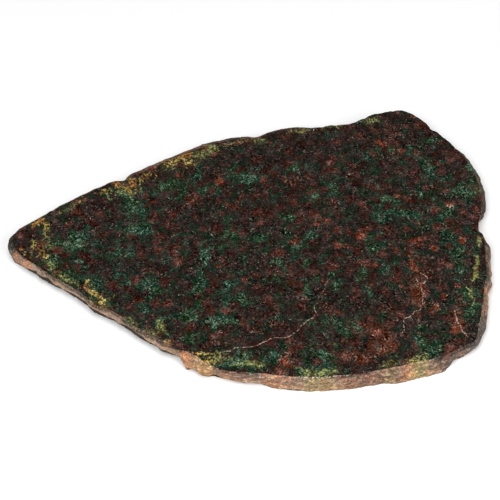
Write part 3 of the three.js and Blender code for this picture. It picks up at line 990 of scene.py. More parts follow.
@dataclass(frozen=True)
class Rock:
    """The rock's own pattern, shared by all three finishes: garnets in a fine dark green matrix.

    Sizes are in millimetres. A reach is how far a noise swings to either side of its middle, or how far it
    pushes a place about: the ragged reaches are the garnets', the grains' and the needles'. A pull is how
    strongly a listed field turns the matrix green, or back to dusky. The contrast is how far the light
    and dark of the grains is drawn apart, and the gain and floor turn it into brightness.
    """

    garnets: Cells = Cells(4.3, 3.0)
    grains: Cells = Cells(0.5, 9.0)
    bundles: Cells = Cells(1.9, 14.0)
    needle: Cloud = Cloud(0.33, 6.0, 2, 0.5)
    needle_stretch: tuple[float, float, float] = (1.0, 0.26, 0.6)
    shreds: Cloud = Cloud(0.8, 6.0, 2, 0.8)
    sway: Cloud = Cloud(3.2, 1.0, 1)
    ragged: Cloud = Cloud(1.1, 2.0, 1)
    drift: Cloud = Cloud(14.0, 4.0)
    lively: Cloud = Cloud(2.8, 7.0, 0)
    threads: Cloud = Cloud(1.5, 5.0, 1, 1.0)
    tint: Cloud = Cloud(7.0, 10.0)
    glow: Cloud = Cloud(1.6, 8.0, 1)
    crisp: Cloud = Cloud(3.4, 20.0, 2)
    flush: Cloud = Cloud(3.6, 25.0, 1)
    sway_reach: float = 3.2
    ragged_reaches: tuple[float, float, float] = (0.3, 0.4, 0.8)
    lively_reach: float = 0.95
    thread_width: float = 0.15
    garnet_radius: Weight = (0.26, 0.50)
    garnet_flank: float = 0.42
    garnet_share: Weight = (-0.7, 1.15)
    garnet_rust: float = 0.5
    garnet_chance: Window = (-0.1, 0.1)
    garnet_heart: Window = (0.0, 0.35, 1.25, 0.85)
    glow_window: Window = (0.52, 0.7, 0.0, 0.5)
    dark_window: Window = (-0.6, 0.4)
    leaf_window: Window = (0.38, 0.62)
    green_pull: float = 0.78
    dusky_pull: float = -0.4
    green_window: Window = (-0.24, 0.8)
    rust_window: Window = (0.15, 1.15)
    rust_threads: Weight = (0.45, 0.55)
    ember_window: Window = (0.3, 0.8, 0.0, 0.65)
    ember_threads: Weight = (0.5, 0.7)
    crisp_reach: float = 2.5
    garnet_calm: Weight = (-0.4, 1.0)
    needle_middle: float = 0.54
    grain_luck: Weight = (0.8, -0.4)
    bloom_threads: Weight = (0.6, 0.4)
    bloom_gain: float = 1.7
    deepening: float = -0.31
    most_depth: float = 1.6
    chalky_window: Window = (2.5, 9.0, 0.0, 0.6)
    fleck_spark: Window = (0.97, 0.99)
    fleck_needles: Window = (0.5, 0.62)
    contrast: float = 6.6
    gain: float = 1.16
    floor: float = 0.045
    warm_matrix: Colour = rgb(0.0246, 0.0126, 0.0114)
    dark_matrix: Colour = rgb(0.0146, 0.0140, 0.0112)
    blue_green: Colour = rgb(0.0068, 0.0218, 0.0126)
    leaf_green: Colour = rgb(0.0092, 0.0218, 0.0092)
    glowing_red: Colour = rgb(0.090, 0.029, 0.016)
    rust: Colour = rgb(0.110, 0.0365, 0.0205)
    ember: Colour = rgb(0.168, 0.045, 0.025)
    chalky_red: Colour = rgb(0.22, 0.130, 0.088)
    chalky_green: Colour = rgb(0.155, 0.25, 0.16)
    # Pale flecks: partly pale mineral, partly painted glints of light on the polish.
    pale_fleck_glint: Colour = rgb(0.25, 0.27, 0.20)
    pink_fleck_glint: Colour = rgb(0.30, 0.17, 0.12)

    def place(self, graph: Graph) -> Socket:
        """The place on the piece, in millimetres."""
        return graph.scaled(graph.add("ShaderNodeTexCoord").outputs["Object"], 1 / MM)

    def fields(self, graph: Graph) -> Fields:
        """Reads the fields that the mesh carries.

        Args:
            graph: the shader tree.

        Returns:
            Each field by name, as a number from 0 to 1.
        """
        found = {}
        for attribute, parts in FIELDS.items():
            value = graph.add("ShaderNodeAttribute", attribute_name=attribute).outputs["Vector"]
            found.update(zip(parts, graph.parts(value)))
        return found

    def _needles(self, graph: Graph, at: Socket) -> Socket:
        """Paints the fine needles, which lie side by side in bundles, each bundle turned its own way.

        Args:
            graph: the shader tree.
            at: the place, in millimetres.

        Returns:
            A value around 0.5, high on a pale needle and low in the gaps between.
        """
        bundles = graph.cells(at, self.bundles).outputs["Color"]
        turn = graph.math("MULTIPLY", graph.parts(bundles)[0], math.tau)
        turned = graph.add("ShaderNodeVectorRotate", {"Vector": at, "Angle": turn}, rotation_type="Z_AXIS")
        drawn = graph.vector("MULTIPLY", turned.outputs["Vector"], self.needle_stretch)
        return graph.level(drawn, self.needle)

    def _shake(self, graph: Graph, at: Socket, cloud: Cloud) -> Socket:
        """A random shift for each place, about half a unit long."""
        return graph.vector("SUBTRACT", graph.noise(at, cloud).outputs["Color"], (0.5, 0.5, 0.5))

    def _garnets(self, graph: Graph, at: Socket, shift: Socket, fields: Fields) -> tuple[Socket, Socket]:
        """Paints the garnets.

        Args:
            graph: the shader tree.
            at: the place, in millimetres.
            shift: how far the garnets' ragged edges are pushed about.
            fields: the fields that the mesh carries.

        Returns:
            How much of each place is garnet, and the garnets' red.
        """
        garnets = graph.cells(graph.vector("ADD", at, shift), self.garnets)
        distance = garnets.outputs["Distance"]
        chance, bulk, tone = graph.parts(garnets.outputs["Color"])
        radius = graph.weigh(bulk, *self.garnet_radius)
        body = graph.step(distance, graph.math("SUBTRACT", radius, self.garnet_flank), radius, 1.0, 0.0)
        share = graph.weigh(fields["green"], *self.garnet_share)
        share = graph.weigh(fields["rust"], self.garnet_rust, share)
        share = graph.math("ADD", share, graph.centred(at, self.drift, 0.5))
        likely = graph.math("SUBTRACT", share, chance)
        garnet = graph.product(body, graph.step(likely, *self.garnet_chance))
        red = graph.scaled(graph.ramp(tone, GARNET_TONES), graph.step(distance, *self.garnet_heart))
        glow = graph.step(graph.level(at, self.glow), *self.glow_window)
        return garnet, graph.blend(glow, red, self.glowing_red)

    def _matrix(self, graph: Graph, at: Socket, lively: Socket, fields: Fields) -> tuple[Socket, Socket]:
        """Paints the fine matrix between the garnets.

        Args:
            graph: the shader tree.
            at: the place, in millimetres.
            lively: the noise that mixes dusky and green grains.
            fields: the fields that the mesh carries.

        Returns:
            The matrix's colour, and how green it is.
        """
        dusky = graph.blend(graph.step(lively, *self.dark_window), self.warm_matrix, self.dark_matrix)
        tint = graph.step(graph.level(at, self.tint), *self.leaf_window)
        leafy = graph.blend(tint, self.blue_green, self.leaf_green)
        green = graph.weigh(fields["green"], self.green_pull, lively)
        green = graph.step(graph.weigh(fields["dusky"], self.dusky_pull, green), *self.green_window)
        return graph.blend(green, dusky, leafy), green

    def _rusty(self, graph: Graph, colour: Socket, lively: Socket, threads: Socket, fields: Fields) -> Socket:
        """Lays rusty and glowing ember grains over the rock.

        Args:
            graph: the shader tree.
            colour: the colour of garnets and matrix.
            lively: the noise that mixes the grains.
            threads: the thin winding threads, where the rust is strongest.
            fields: the fields that the mesh carries.

        Returns:
            The rusted colour.
        """
        rusty = graph.step(graph.weigh(lively, -0.5, fields["rust"]), *self.rust_window)
        rusty = graph.product(rusty, graph.weigh(threads, *self.rust_threads))
        ember = graph.step(graph.weigh(lively, -0.3, fields["ember"]), *self.ember_window)
        ember = graph.product(ember, graph.weigh(threads, *self.ember_threads))
        return graph.blend(ember, graph.blend(rusty, colour, self.rust), self.ember)

    def _tremor(self, graph: Graph, at: Socket, garnet: Socket, needles: Socket, luck: Socket) -> Socket:
        """Works out how much lighter or darker each grain is than its mineral.

        Args:
            graph: the shader tree.
            at: the place, in millimetres.
            garnet: how much of each place is garnet.
            needles: the needles, around 0.5.
            luck: a random number for each grain.

        Returns:
            The natural logarithm of the grain's gain.
        """
        crisp = graph.math("EXPONENT", graph.centred(at, self.crisp, self.crisp_reach))
        crisp = graph.product(crisp, self.contrast, graph.weigh(garnet, *self.garnet_calm))
        tremor = graph.product(crisp, graph.math("SUBTRACT", needles, self.needle_middle))
        for noise, reach in ((self.shreds, 1.5), (self.flush, 1.0)):
            tremor = graph.math("ADD", tremor, graph.centred(at, noise, reach))
        return graph.math("ADD", tremor, graph.weigh(luck, *self.grain_luck))

    def colour(self, graph: Graph, at: Socket, fields: Fields) -> Pattern:
        """Paints a fresh cut through the rock.

        Args:
            graph: the shader tree.
            at: the place, in millimetres.
            fields: the fields that the mesh carries.

        Returns:
            The pattern's sockets.
        """
        ragged = self._shake(graph, at, self.ragged)
        garnet_reach, grain_reach, needle_reach = self.ragged_reaches
        shift = graph.scaled(self._shake(graph, at, self.sway), self.sway_reach)
        shift = graph.vector("ADD", shift, graph.scaled(ragged, garnet_reach))
        lively = graph.centred(at, self.lively, self.lively_reach)
        threads = graph.seam(at, self.threads, self.thread_width)
        garnet, red = self._garnets(graph, at, shift, fields)
        matrix, green = self._matrix(graph, at, lively, fields)
        colour = self._rusty(graph, graph.blend(garnet, matrix, red), lively, threads, fields)

        grains = graph.cells(graph.vector("ADD", at, graph.scaled(ragged, grain_reach)), self.grains)
        luck, hue, spark = graph.parts(grains.outputs["Color"])
        needles = self._needles(graph, graph.vector("ADD", at, graph.scaled(ragged, needle_reach)))
        tremor = self._tremor(graph, at, garnet, needles, luck)
        bloom = graph.product(threads, graph.weigh(fields["green"], *self.bloom_threads))
        lush = graph.product(green, bloom, graph.math("SUBTRACT", 1.0, garnet))
        tremor = graph.weigh(lush, self.bloom_gain, tremor)
        grain = graph.math("EXPONENT", tremor)
        depth = graph.math("EXPONENT", graph.product(tremor, self.deepening))
        depth = graph.math("MINIMUM", depth, self.most_depth)
        colour = graph.add("ShaderNodeHueSaturation", {"Saturation": depth, "Color": colour}).outputs["Color"]
        colour = graph.scaled(colour, graph.weigh(grain, self.gain, self.floor))
        chalky = graph.blend(green, self.chalky_red, self.chalky_green)
        colour = graph.blend(graph.step(grain, *self.chalky_window), colour, chalky)
        # Sparse pale flecks on the grains: partly pale mineral, partly painted glints of light on the polish.
        spark = graph.step(spark, *self.fleck_spark)
        pale = graph.product(spark, graph.step(needles, *self.fleck_needles), hue)
        fleck_glint = graph.blend(garnet, self.pale_fleck_glint, self.pink_fleck_glint)
        return Pattern(graph.blend(pale, colour, fleck_glint), garnet, grain)


@dataclass(frozen=True)
class PolishedFinish:
    """The polished face: deep colour, pale veins, and yellow and olive stains that creep in from the rim.

    Sizes are in millimetres. A stain is a solid crust where it is strongest and a thin veil beyond, which
    follows the lace of the grain boundaries.
    """

    rock: Rock
    crumbs: Cloud = Cloud(0.7, 12.0, 3)
    creep: Cloud = Cloud(1.8, 16.0, 3)
    net: Cells = Cells(1.9, 11.0)
    lace: Cloud = Cloud(1.5, 15.0, 3)
    warmth: Cloud = Cloud(4.0, 13.0)
    breaks: Cloud = Cloud(0.7, 14.0, 2)
    sparkle: Cloud = Cloud(2.2, 17.0, 3)
    orange_stain: Colour = rgb(0.58, 0.235, 0.055)
    dark_vein: Colour = rgb(0.15, 0.070, 0.050)
    pale_vein: Colour = rgb(0.37, 0.215, 0.160)
    white_vein: Colour = rgb(0.80, 0.57, 0.45)
    net_window: Window = (0.02, 0.15, 1.0, 0.0)
    lace_width: float = 0.09
    lace_breaks: Window = (0.38, 0.58)
    garnet_lace: Weight = (-0.5, 1.0)
    creep_reach: float = 0.6
    stain_light: Weight = (0.4, 0.4)
    most_light: float = 1.5
    solid_window: Window = (0.8, 1.4)
    olive_veil: Window = (0.1, 0.8)
    olive_lace: Weight = (0.85, 0.1)
    olive_crumbs: Window = (0.3, 0.5, 0.3, 0.85)
    ochre_veil: Window = (0.15, 0.75)
    ochre_crumbs: Window = (0.3, 0.5, 0.0, 0.8)
    flame_window: Window = (0.66, 1.2, 0.0, 0.8)
    vein_breaks: Window = (0.43, 0.57, 0.05, 1.0)
    vein_window: Window = (0.25, 0.75, 0.0, 0.9)
    vein_grains: Window = (0.6, 2.2)
    white_window: Window = (1.2, 1.9, 0.0, 0.85)
    white_grains: Window = (0.4, 1.6, 0.4, 1.0)
    roughness: float = 0.14
    crumb_roughness: float = 0.12
    garnet_roughness: float = -0.05
    bump: float = 0.02
    refraction: float = 1.6

    def _lace(self, graph: Graph, at: Socket, crumbs: Socket, pattern: Pattern) -> Socket:
        """The fine net of grain boundaries that stains soak into.

        Args:
            graph: the shader tree.
            at: the place, in millimetres.
            crumbs: the crumbly noise that breaks the net up.
            pattern: the fresh cut.

        Returns:
            A value from 0, between boundaries, to 1.
        """
        net = graph.cells(at, self.net, "DISTANCE_TO_EDGE").outputs["Distance"]
        net = graph.step(net, *self.net_window)
        lace = graph.math("MAXIMUM", net, graph.seam(at, self.lace, self.lace_width))
        broken = graph.step(crumbs, *self.lace_breaks)
        return graph.product(lace, broken, graph.weigh(pattern.garnet, *self.garnet_lace))

    def _stained(self, graph: Graph, at: Socket, fields: Fields, crumbs: Socket, pattern: Pattern) -> Socket:
        """Lays the stains over a fresh cut.

        Args:
            graph: the shader tree.
            at: the place, in millimetres.
            fields: the fields that the mesh carries.
            crumbs: the crumbly noise that breaks the stains up.
            pattern: the fresh cut.

        Returns:
            The stained colour.
        """
        lace = self._lace(graph, at, crumbs, pattern)
        creep = graph.centred(at, self.creep, self.creep_reach)
        light = graph.math("MINIMUM", graph.weigh(pattern.grain, *self.stain_light), self.most_light)

        spread = graph.math("ADD", fields["olive"], creep)
        veil = graph.product(graph.step(spread, *self.olive_veil), graph.weigh(lace, *self.olive_lace))
        solid = graph.product(graph.step(spread, *self.solid_window), graph.step(crumbs, *self.olive_crumbs))
        tint = graph.scaled(graph.ramp(crumbs, OLIVE_TONES), light)
        colour = graph.blend(graph.math("MAXIMUM", veil, solid), pattern.colour, tint)

        spread = graph.math("ADD", fields["ochre"], creep)
        veil = graph.product(graph.step(spread, *self.ochre_veil), lace)
        solid = graph.product(graph.step(spread, *self.solid_window), graph.step(crumbs, *self.ochre_crumbs))
        warm = graph.level(at, self.warmth)
        warm = graph.step(graph.weigh(warm, 1.2, fields["flame"]), *self.flame_window)
        tint = graph.blend(warm, graph.ramp(crumbs, OCHRE_TONES), self.orange_stain)
        return graph.blend(graph.math("MAXIMUM", veil, solid), colour, graph.scaled(tint, light))

    def _veined(self, graph: Graph, at: Socket, fields: Fields, pattern: Pattern, colour: Socket) -> Socket:
        """Draws the pale veins, broken and with white sparkles.

        Args:
            graph: the shader tree.
            at: the place, in millimetres.
            fields: the fields that the mesh carries.
            pattern: the fresh cut.
            colour: the colour under the veins.

        Returns:
            The colour with the veins.
        """
        broken = graph.step(graph.level(at, self.breaks), *self.vein_breaks)
        vein = graph.product(graph.step(fields["vein"], *self.vein_window), broken)
        white = graph.level(at, self.sparkle)
        white = graph.step(graph.weigh(white, 1.6, fields["vein"]), *self.white_window)
        white = graph.product(white, graph.step(pattern.grain, *self.white_grains))
        tint = graph.blend(graph.step(pattern.grain, *self.vein_grains), self.dark_vein, self.pale_vein)
        return graph.blend(vein, colour, graph.blend(white, tint, self.white_vein))

    def material(self) -> bpy.types.Material:
        """Makes the material.

        Returns:
            The material.
        """
        material, graph, surface = new_material("polished_eclogite")
        at = self.rock.place(graph)
        fields = self.rock.fields(graph)
        pattern = self.rock.colour(graph, at, fields)
        crumbs = graph.level(at, self.crumbs)
        colour = self._stained(graph, at, fields, crumbs, pattern)
        colour = self._veined(graph, at, fields, pattern, colour)
        dull = graph.weigh(crumbs, self.crumb_roughness, self.roughness)
        dull = graph.weigh(pattern.garnet, self.garnet_roughness, dull)
        relief = graph.bump(crumbs, 0.12, self.bump)
        graph.feed(surface, {"Base Color": colour, "Roughness": dull, "Normal": relief})
        graph.feed(surface, {"IOR": self.refraction})
        return material


@dataclass(frozen=True)
class SkinSockets:
    """The sockets that the rim's layers of colour share. The band is the height, made wavy."""

    at: Socket
    height: Socket
    band: Socket
    crumbs: Socket
    ragged: Socket
    dust: Socket
    tint: Socket
    fields: Fields


@dataclass(frozen=True)
class RimFinish:
    """The natural rim: a pale skin, grey above and tan below, with rusty and olive stretches, painted shade
    laid as darker fresh rock along the back and right, a painted glint along the front's top edge and a
    painted shadow along the foot, chiefly on the left flank.

    Sizes are in millimetres. The patterns are squeezed in height, so the skin looks layered. The windows
    named bands are of heights, and the lip and foot shadow reaches are how far the dark lip comes down and
    the painted shadow at the foot climbs. The shade of the drab stretches turns from mauve to grey as x
    passes through the ends.
    """

    rock: Rock
    layering: tuple[float, float, float] = (1.0, 1.0, 1.8)
    band: Cloud = Cloud(6.0, 21.0, 4)
    crumbs: Cloud = Cloud(1.0, 22.0, 4)
    hue: Cloud = Cloud(3.0, 25.0, 3)
    mottle: Cloud = Cloud(1.9, 26.0, 4)
    ragged: Cloud = Cloud(1.6, 24.0, 3)
    grit: Cells = Cells(0.5, 23.0)
    ends: Window = (56.0, 76.0)
    band_reach: float = 3.0
    ragged_reach: float = 0.8
    grey_band: Window = (2.6, 5.8, 0.0, 0.85)
    blush_window: Window = (0.48, 0.64, 0.0, 0.6)
    moss_window: Window = (0.52, 0.66, 0.0, 0.5)
    shade_window: Window = (0.15, 0.85, 0.0, 0.9)
    shade_gain: float = 0.65
    mauve_share: float = 0.75
    ochre_window: Window = (0.2, 1.0, 0.0, 0.75)
    olive_window: Window = (0.2, 1.2, 0.0, 0.65)
    flame_window: Window = (0.15, 1.1, 0.0, 0.8)
    mottle_weight: Weight = (3.2, -1.65)
    dust_weight: Weight = (1.05, -0.55)
    sand_share: float = 0.32
    garnet_window: Window = (0.25, 0.8, 0.0, 0.35)
    speck_window: Window = (0.88, 0.95, 0.0, 0.6)
    speck_band: Window = (4.0, 7.0, 0.25, 1.0)
    # The painted shade on the back and right is laid as fresh rock, at this gain on the face's pattern.
    fresh_and_shade_window: Window = (0.1, 0.9, 0.0, 0.85)
    fresh_and_shade_gain: float = 1.4
    lip_reach: float = 3.2
    lip_band: Window = (7.7, 9.1, 0.0, 0.85)
    lip_dust: Window = (0.6, 0.9, 1.0, 0.6)
    lip_gain: float = 1.2
    foot_shadow_reach: float = 5.2
    foot_shadow_window: Window = (-0.35, 0.35, 0.95, 0.0)
    painted_glint_band: Window = (7.62, 7.85, 0.0, 0.6)
    painted_glint_window: Window = (0.2, 0.6)
    painted_glint_dust: Window = (0.35, 0.6)
    blush: Colour = rgb(0.34, 0.160, 0.100)
    moss: Colour = rgb(0.30, 0.24, 0.12)
    ochre: Colour = rgb(0.56, 0.30, 0.105)
    olive: Colour = rgb(0.33, 0.30, 0.125)
    flame: Colour = rgb(0.52, 0.19, 0.075)
    sand: Colour = rgb(0.58, 0.42, 0.30)
    garnet: Colour = rgb(0.17, 0.070, 0.050)
    speck: Colour = rgb(0.06, 0.042, 0.034)
    # The colours of the painted shadow at the foot and of the painted glint on the top edge.
    painted_foot_shadow: Colour = rgb(0.022, 0.016, 0.014)
    glint: Colour = rgb(0.80, 0.72, 0.64)
    roughness: float = 0.82
    specular: float = 0.12
    bump: float = 0.25

    def _sockets(self, graph: Graph) -> SkinSockets:
        """Makes the sockets that the layers share.

        Args:
            graph: the shader tree.

        Returns:
            The sockets.
        """
        at = self.rock.place(graph)
        height = graph.parts(at)[2]
        layered = graph.vector("MULTIPLY", at, self.layering)
        dust, tint, _ = graph.parts(graph.cells(at, self.grit).outputs["Color"])
        return SkinSockets(
            at=at,
            height=height,
            band=graph.math("ADD", graph.centred(at, self.band, self.band_reach), height),
            crumbs=graph.level(layered, self.crumbs),
            ragged=graph.centred(at, self.ragged, self.ragged_reach),
            dust=dust,
            tint=tint,
            fields=self.rock.fields(graph),
        )

    def _weathered(self, graph: Graph, skin: SkinSockets) -> Socket:
        """Paints the weathered skin before its stains.

        Args:
            graph: the shader tree.
            skin: the shared sockets.

        Returns:
            The skin's colour.
        """
        tan, grey, mauve, drab = (
            graph.ramp(skin.crumbs, tones) for tones in (TAN_SKIN, GREY_SKIN, MAUVE_SKIN, DRAB_SKIN)
        )
        colour = graph.blend(graph.step(skin.band, *self.grey_band), tan, grey)
        layered = graph.vector("MULTIPLY", skin.at, self.layering)
        blush, moss, _ = graph.parts(graph.noise(layered, self.hue).outputs["Color"])
        colour = graph.blend(graph.step(blush, *self.blush_window), colour, self.blush)
        colour = graph.blend(graph.step(moss, *self.moss_window), colour, self.moss)
        ends = graph.step(graph.math("ABSOLUTE", graph.parts(skin.at)[0]), *self.ends)
        shaded = graph.blend(self.mauve_share, graph.scaled(colour, self.shade_gain), mauve)
        shaded = graph.blend(ends, shaded, drab)
        shade = graph.weigh(skin.ragged, 0.5, skin.fields["dusky"])
        return graph.blend(graph.step(shade, *self.shade_window), colour, shaded)

    def _stained(self, graph: Graph, skin: SkinSockets, colour: Socket) -> Socket:
        """Lays the ochre, olive and flame stains over the skin.

        Args:
            graph: the shader tree.
            skin: the shared sockets.
            colour: the skin's colour.

        Returns:
            The stained colour.
        """
        ochre = graph.math("ADD", skin.fields["ochre"], skin.ragged)
        olive = graph.weigh(skin.ragged, 1.4, skin.fields["olive"])
        flame = graph.weigh(skin.ragged, 1.2, skin.fields["flame"])
        colour = graph.blend(graph.step(ochre, *self.ochre_window), colour, self.ochre)
        colour = graph.blend(graph.step(olive, *self.olive_window), colour, self.olive)
        return graph.blend(graph.step(flame, *self.flame_window), colour, self.flame)

    def _speckled(self, graph: Graph, skin: SkinSockets, colour: Socket) -> Socket:
        """Mottles the skin, and lays garnets, dark specks and the sandy foot on it.

        Args:
            graph: the shader tree.
            skin: the shared sockets.
            colour: the stained skin's colour.

        Returns:
            The speckled colour.
        """
        layered = graph.vector("MULTIPLY", skin.at, self.layering)
        mottle = graph.weigh(graph.level(layered, self.mottle), *self.mottle_weight)
        dusty = graph.weigh(skin.dust, *self.dust_weight)
        colour = graph.scaled(colour, graph.math("EXPONENT", dusty))
        colour = graph.scaled(colour, graph.math("EXPONENT", mottle))
        colour = graph.blend(graph.product(skin.fields["foot"], self.sand_share), colour, self.sand)
        garnet = graph.add("ShaderNodeAttribute", attribute_name="garnet").outputs["Fac"]
        colour = graph.blend(graph.step(garnet, *self.garnet_window), colour, self.garnet)
        dark = graph.step(skin.tint, *self.speck_window)
        dark = graph.product(dark, graph.step(skin.band, *self.speck_band))
        return graph.blend(dark, colour, self.speck)

    def _broken(self, graph: Graph, skin: SkinSockets, colour: Socket) -> Socket:
        """Lays painted shade, as darker fresh rock, on the back and right of the rim, and a painted shadow
        along its foot and a painted glint along its top edge.

        Args:
            graph: the shader tree.
            skin: the shared sockets.
            colour: the skin's colour.

        Returns:
            The rim's colour.
        """
        rock = self.rock.colour(graph, skin.at, skin.fields).colour
        # Painted shade on the back and right of the rim, laid as darker fresh rock.
        fresh = graph.weigh(skin.ragged, 0.5, skin.fields["fresh"])
        fresh = graph.step(fresh, *self.fresh_and_shade_window)
        colour = graph.blend(fresh, colour, graph.scaled(rock, self.fresh_and_shade_gain))
        lip = graph.weigh(skin.fields["lip"], self.lip_reach, skin.height)
        lip = graph.step(graph.weigh(skin.ragged, 1.4, lip), *self.lip_band)
        lip = graph.product(lip, graph.step(skin.dust, *self.lip_dust))
        colour = graph.blend(lip, colour, graph.scaled(rock, self.lip_gain))
        # A painted shadow along the rim's foot, where the overhang would shade it.
        foot = graph.weigh(skin.ragged, 0.7, skin.height)
        foot = graph.weigh(skin.fields["foot"], -self.foot_shadow_reach, foot)
        colour = graph.blend(graph.step(foot, *self.foot_shadow_window), colour, self.painted_foot_shadow)
        # A painted glint: a broken pale line of light along the top edge of the front rim.
        glint = graph.weigh(skin.ragged, 0.4, skin.height)
        glint = graph.product(
            graph.step(glint, *self.painted_glint_band),
            graph.step(skin.fields["glint"], *self.painted_glint_window),
            graph.step(skin.dust, *self.painted_glint_dust),
        )
        return graph.blend(glint, colour, self.glint)

    def material(self) -> bpy.types.Material:
        """Makes the material.

        Returns:
            The material.
        """
        material, graph, surface = new_material("weathered_rim")
        skin = self._sockets(graph)
        colour = self._weathered(graph, skin)
        colour = self._stained(graph, skin, colour)
        colour = self._speckled(graph, skin, colour)
        colour = self._broken(graph, skin, colour)
        relief = graph.bump(graph.weigh(skin.dust, 0.3, skin.crumbs), 0.5, self.bump)
        graph.feed(surface, {"Base Color": colour, "Roughness": self.roughness, "Normal": relief})
        graph.feed(surface, {"Specular IOR Level": self.specular})
        return material


@dataclass(frozen=True)
class SawnFinish:
    """The underside: the rock's pattern under pale saw dust, with the blade's shallow curved lines.

    Sizes are in millimetres.
    """

    rock: Rock
    blade_radius: float = 140.0
    blade_middle: float = -20.0
    line_gap: float = 1.1
    wander: Cloud = Cloud(9.0, 31.0)
    crumbs: Cloud = Cloud(0.5, 32.0, 3)
    dust: Colour = rgb(0.21, 0.19, 0.16)
    dust_window: Window = (0.3, 0.7, 0.12, 0.34)
    roughness: float = 0.75
    bump: float = 0.05

    def material(self) -> bpy.types.Material:
        """Makes the material.

        Returns:
            The material.
        """
        material, graph, surface = new_material("sawn_eclogite")
        at = self.rock.place(graph)
        fields = self.rock.fields(graph)
        colour = self.rock.colour(graph, at, fields).colour
        offset = graph.vector("SUBTRACT", at, (self.blade_middle, -self.blade_radius, 0.0))
        reach = graph.add("ShaderNodeVectorMath", {0: offset}, operation="LENGTH").outputs["Value"]
        wander = graph.weigh(graph.level(at, self.wander), 1.2, reach)
        lines = graph.math("SINE", graph.math("MULTIPLY", wander, math.tau / self.line_gap))
        crumbs = graph.level(at, self.crumbs)
        chalky = graph.weigh(lines, 0.05, graph.step(crumbs, *self.dust_window))
        colour = graph.blend(chalky, colour, self.dust)
        relief = graph.bump(graph.weigh(lines, 0.5, crumbs), 0.4, self.bump)
        graph.feed(surface, {"Base Color": colour, "Roughness": self.roughness, "Normal": relief})
        return material


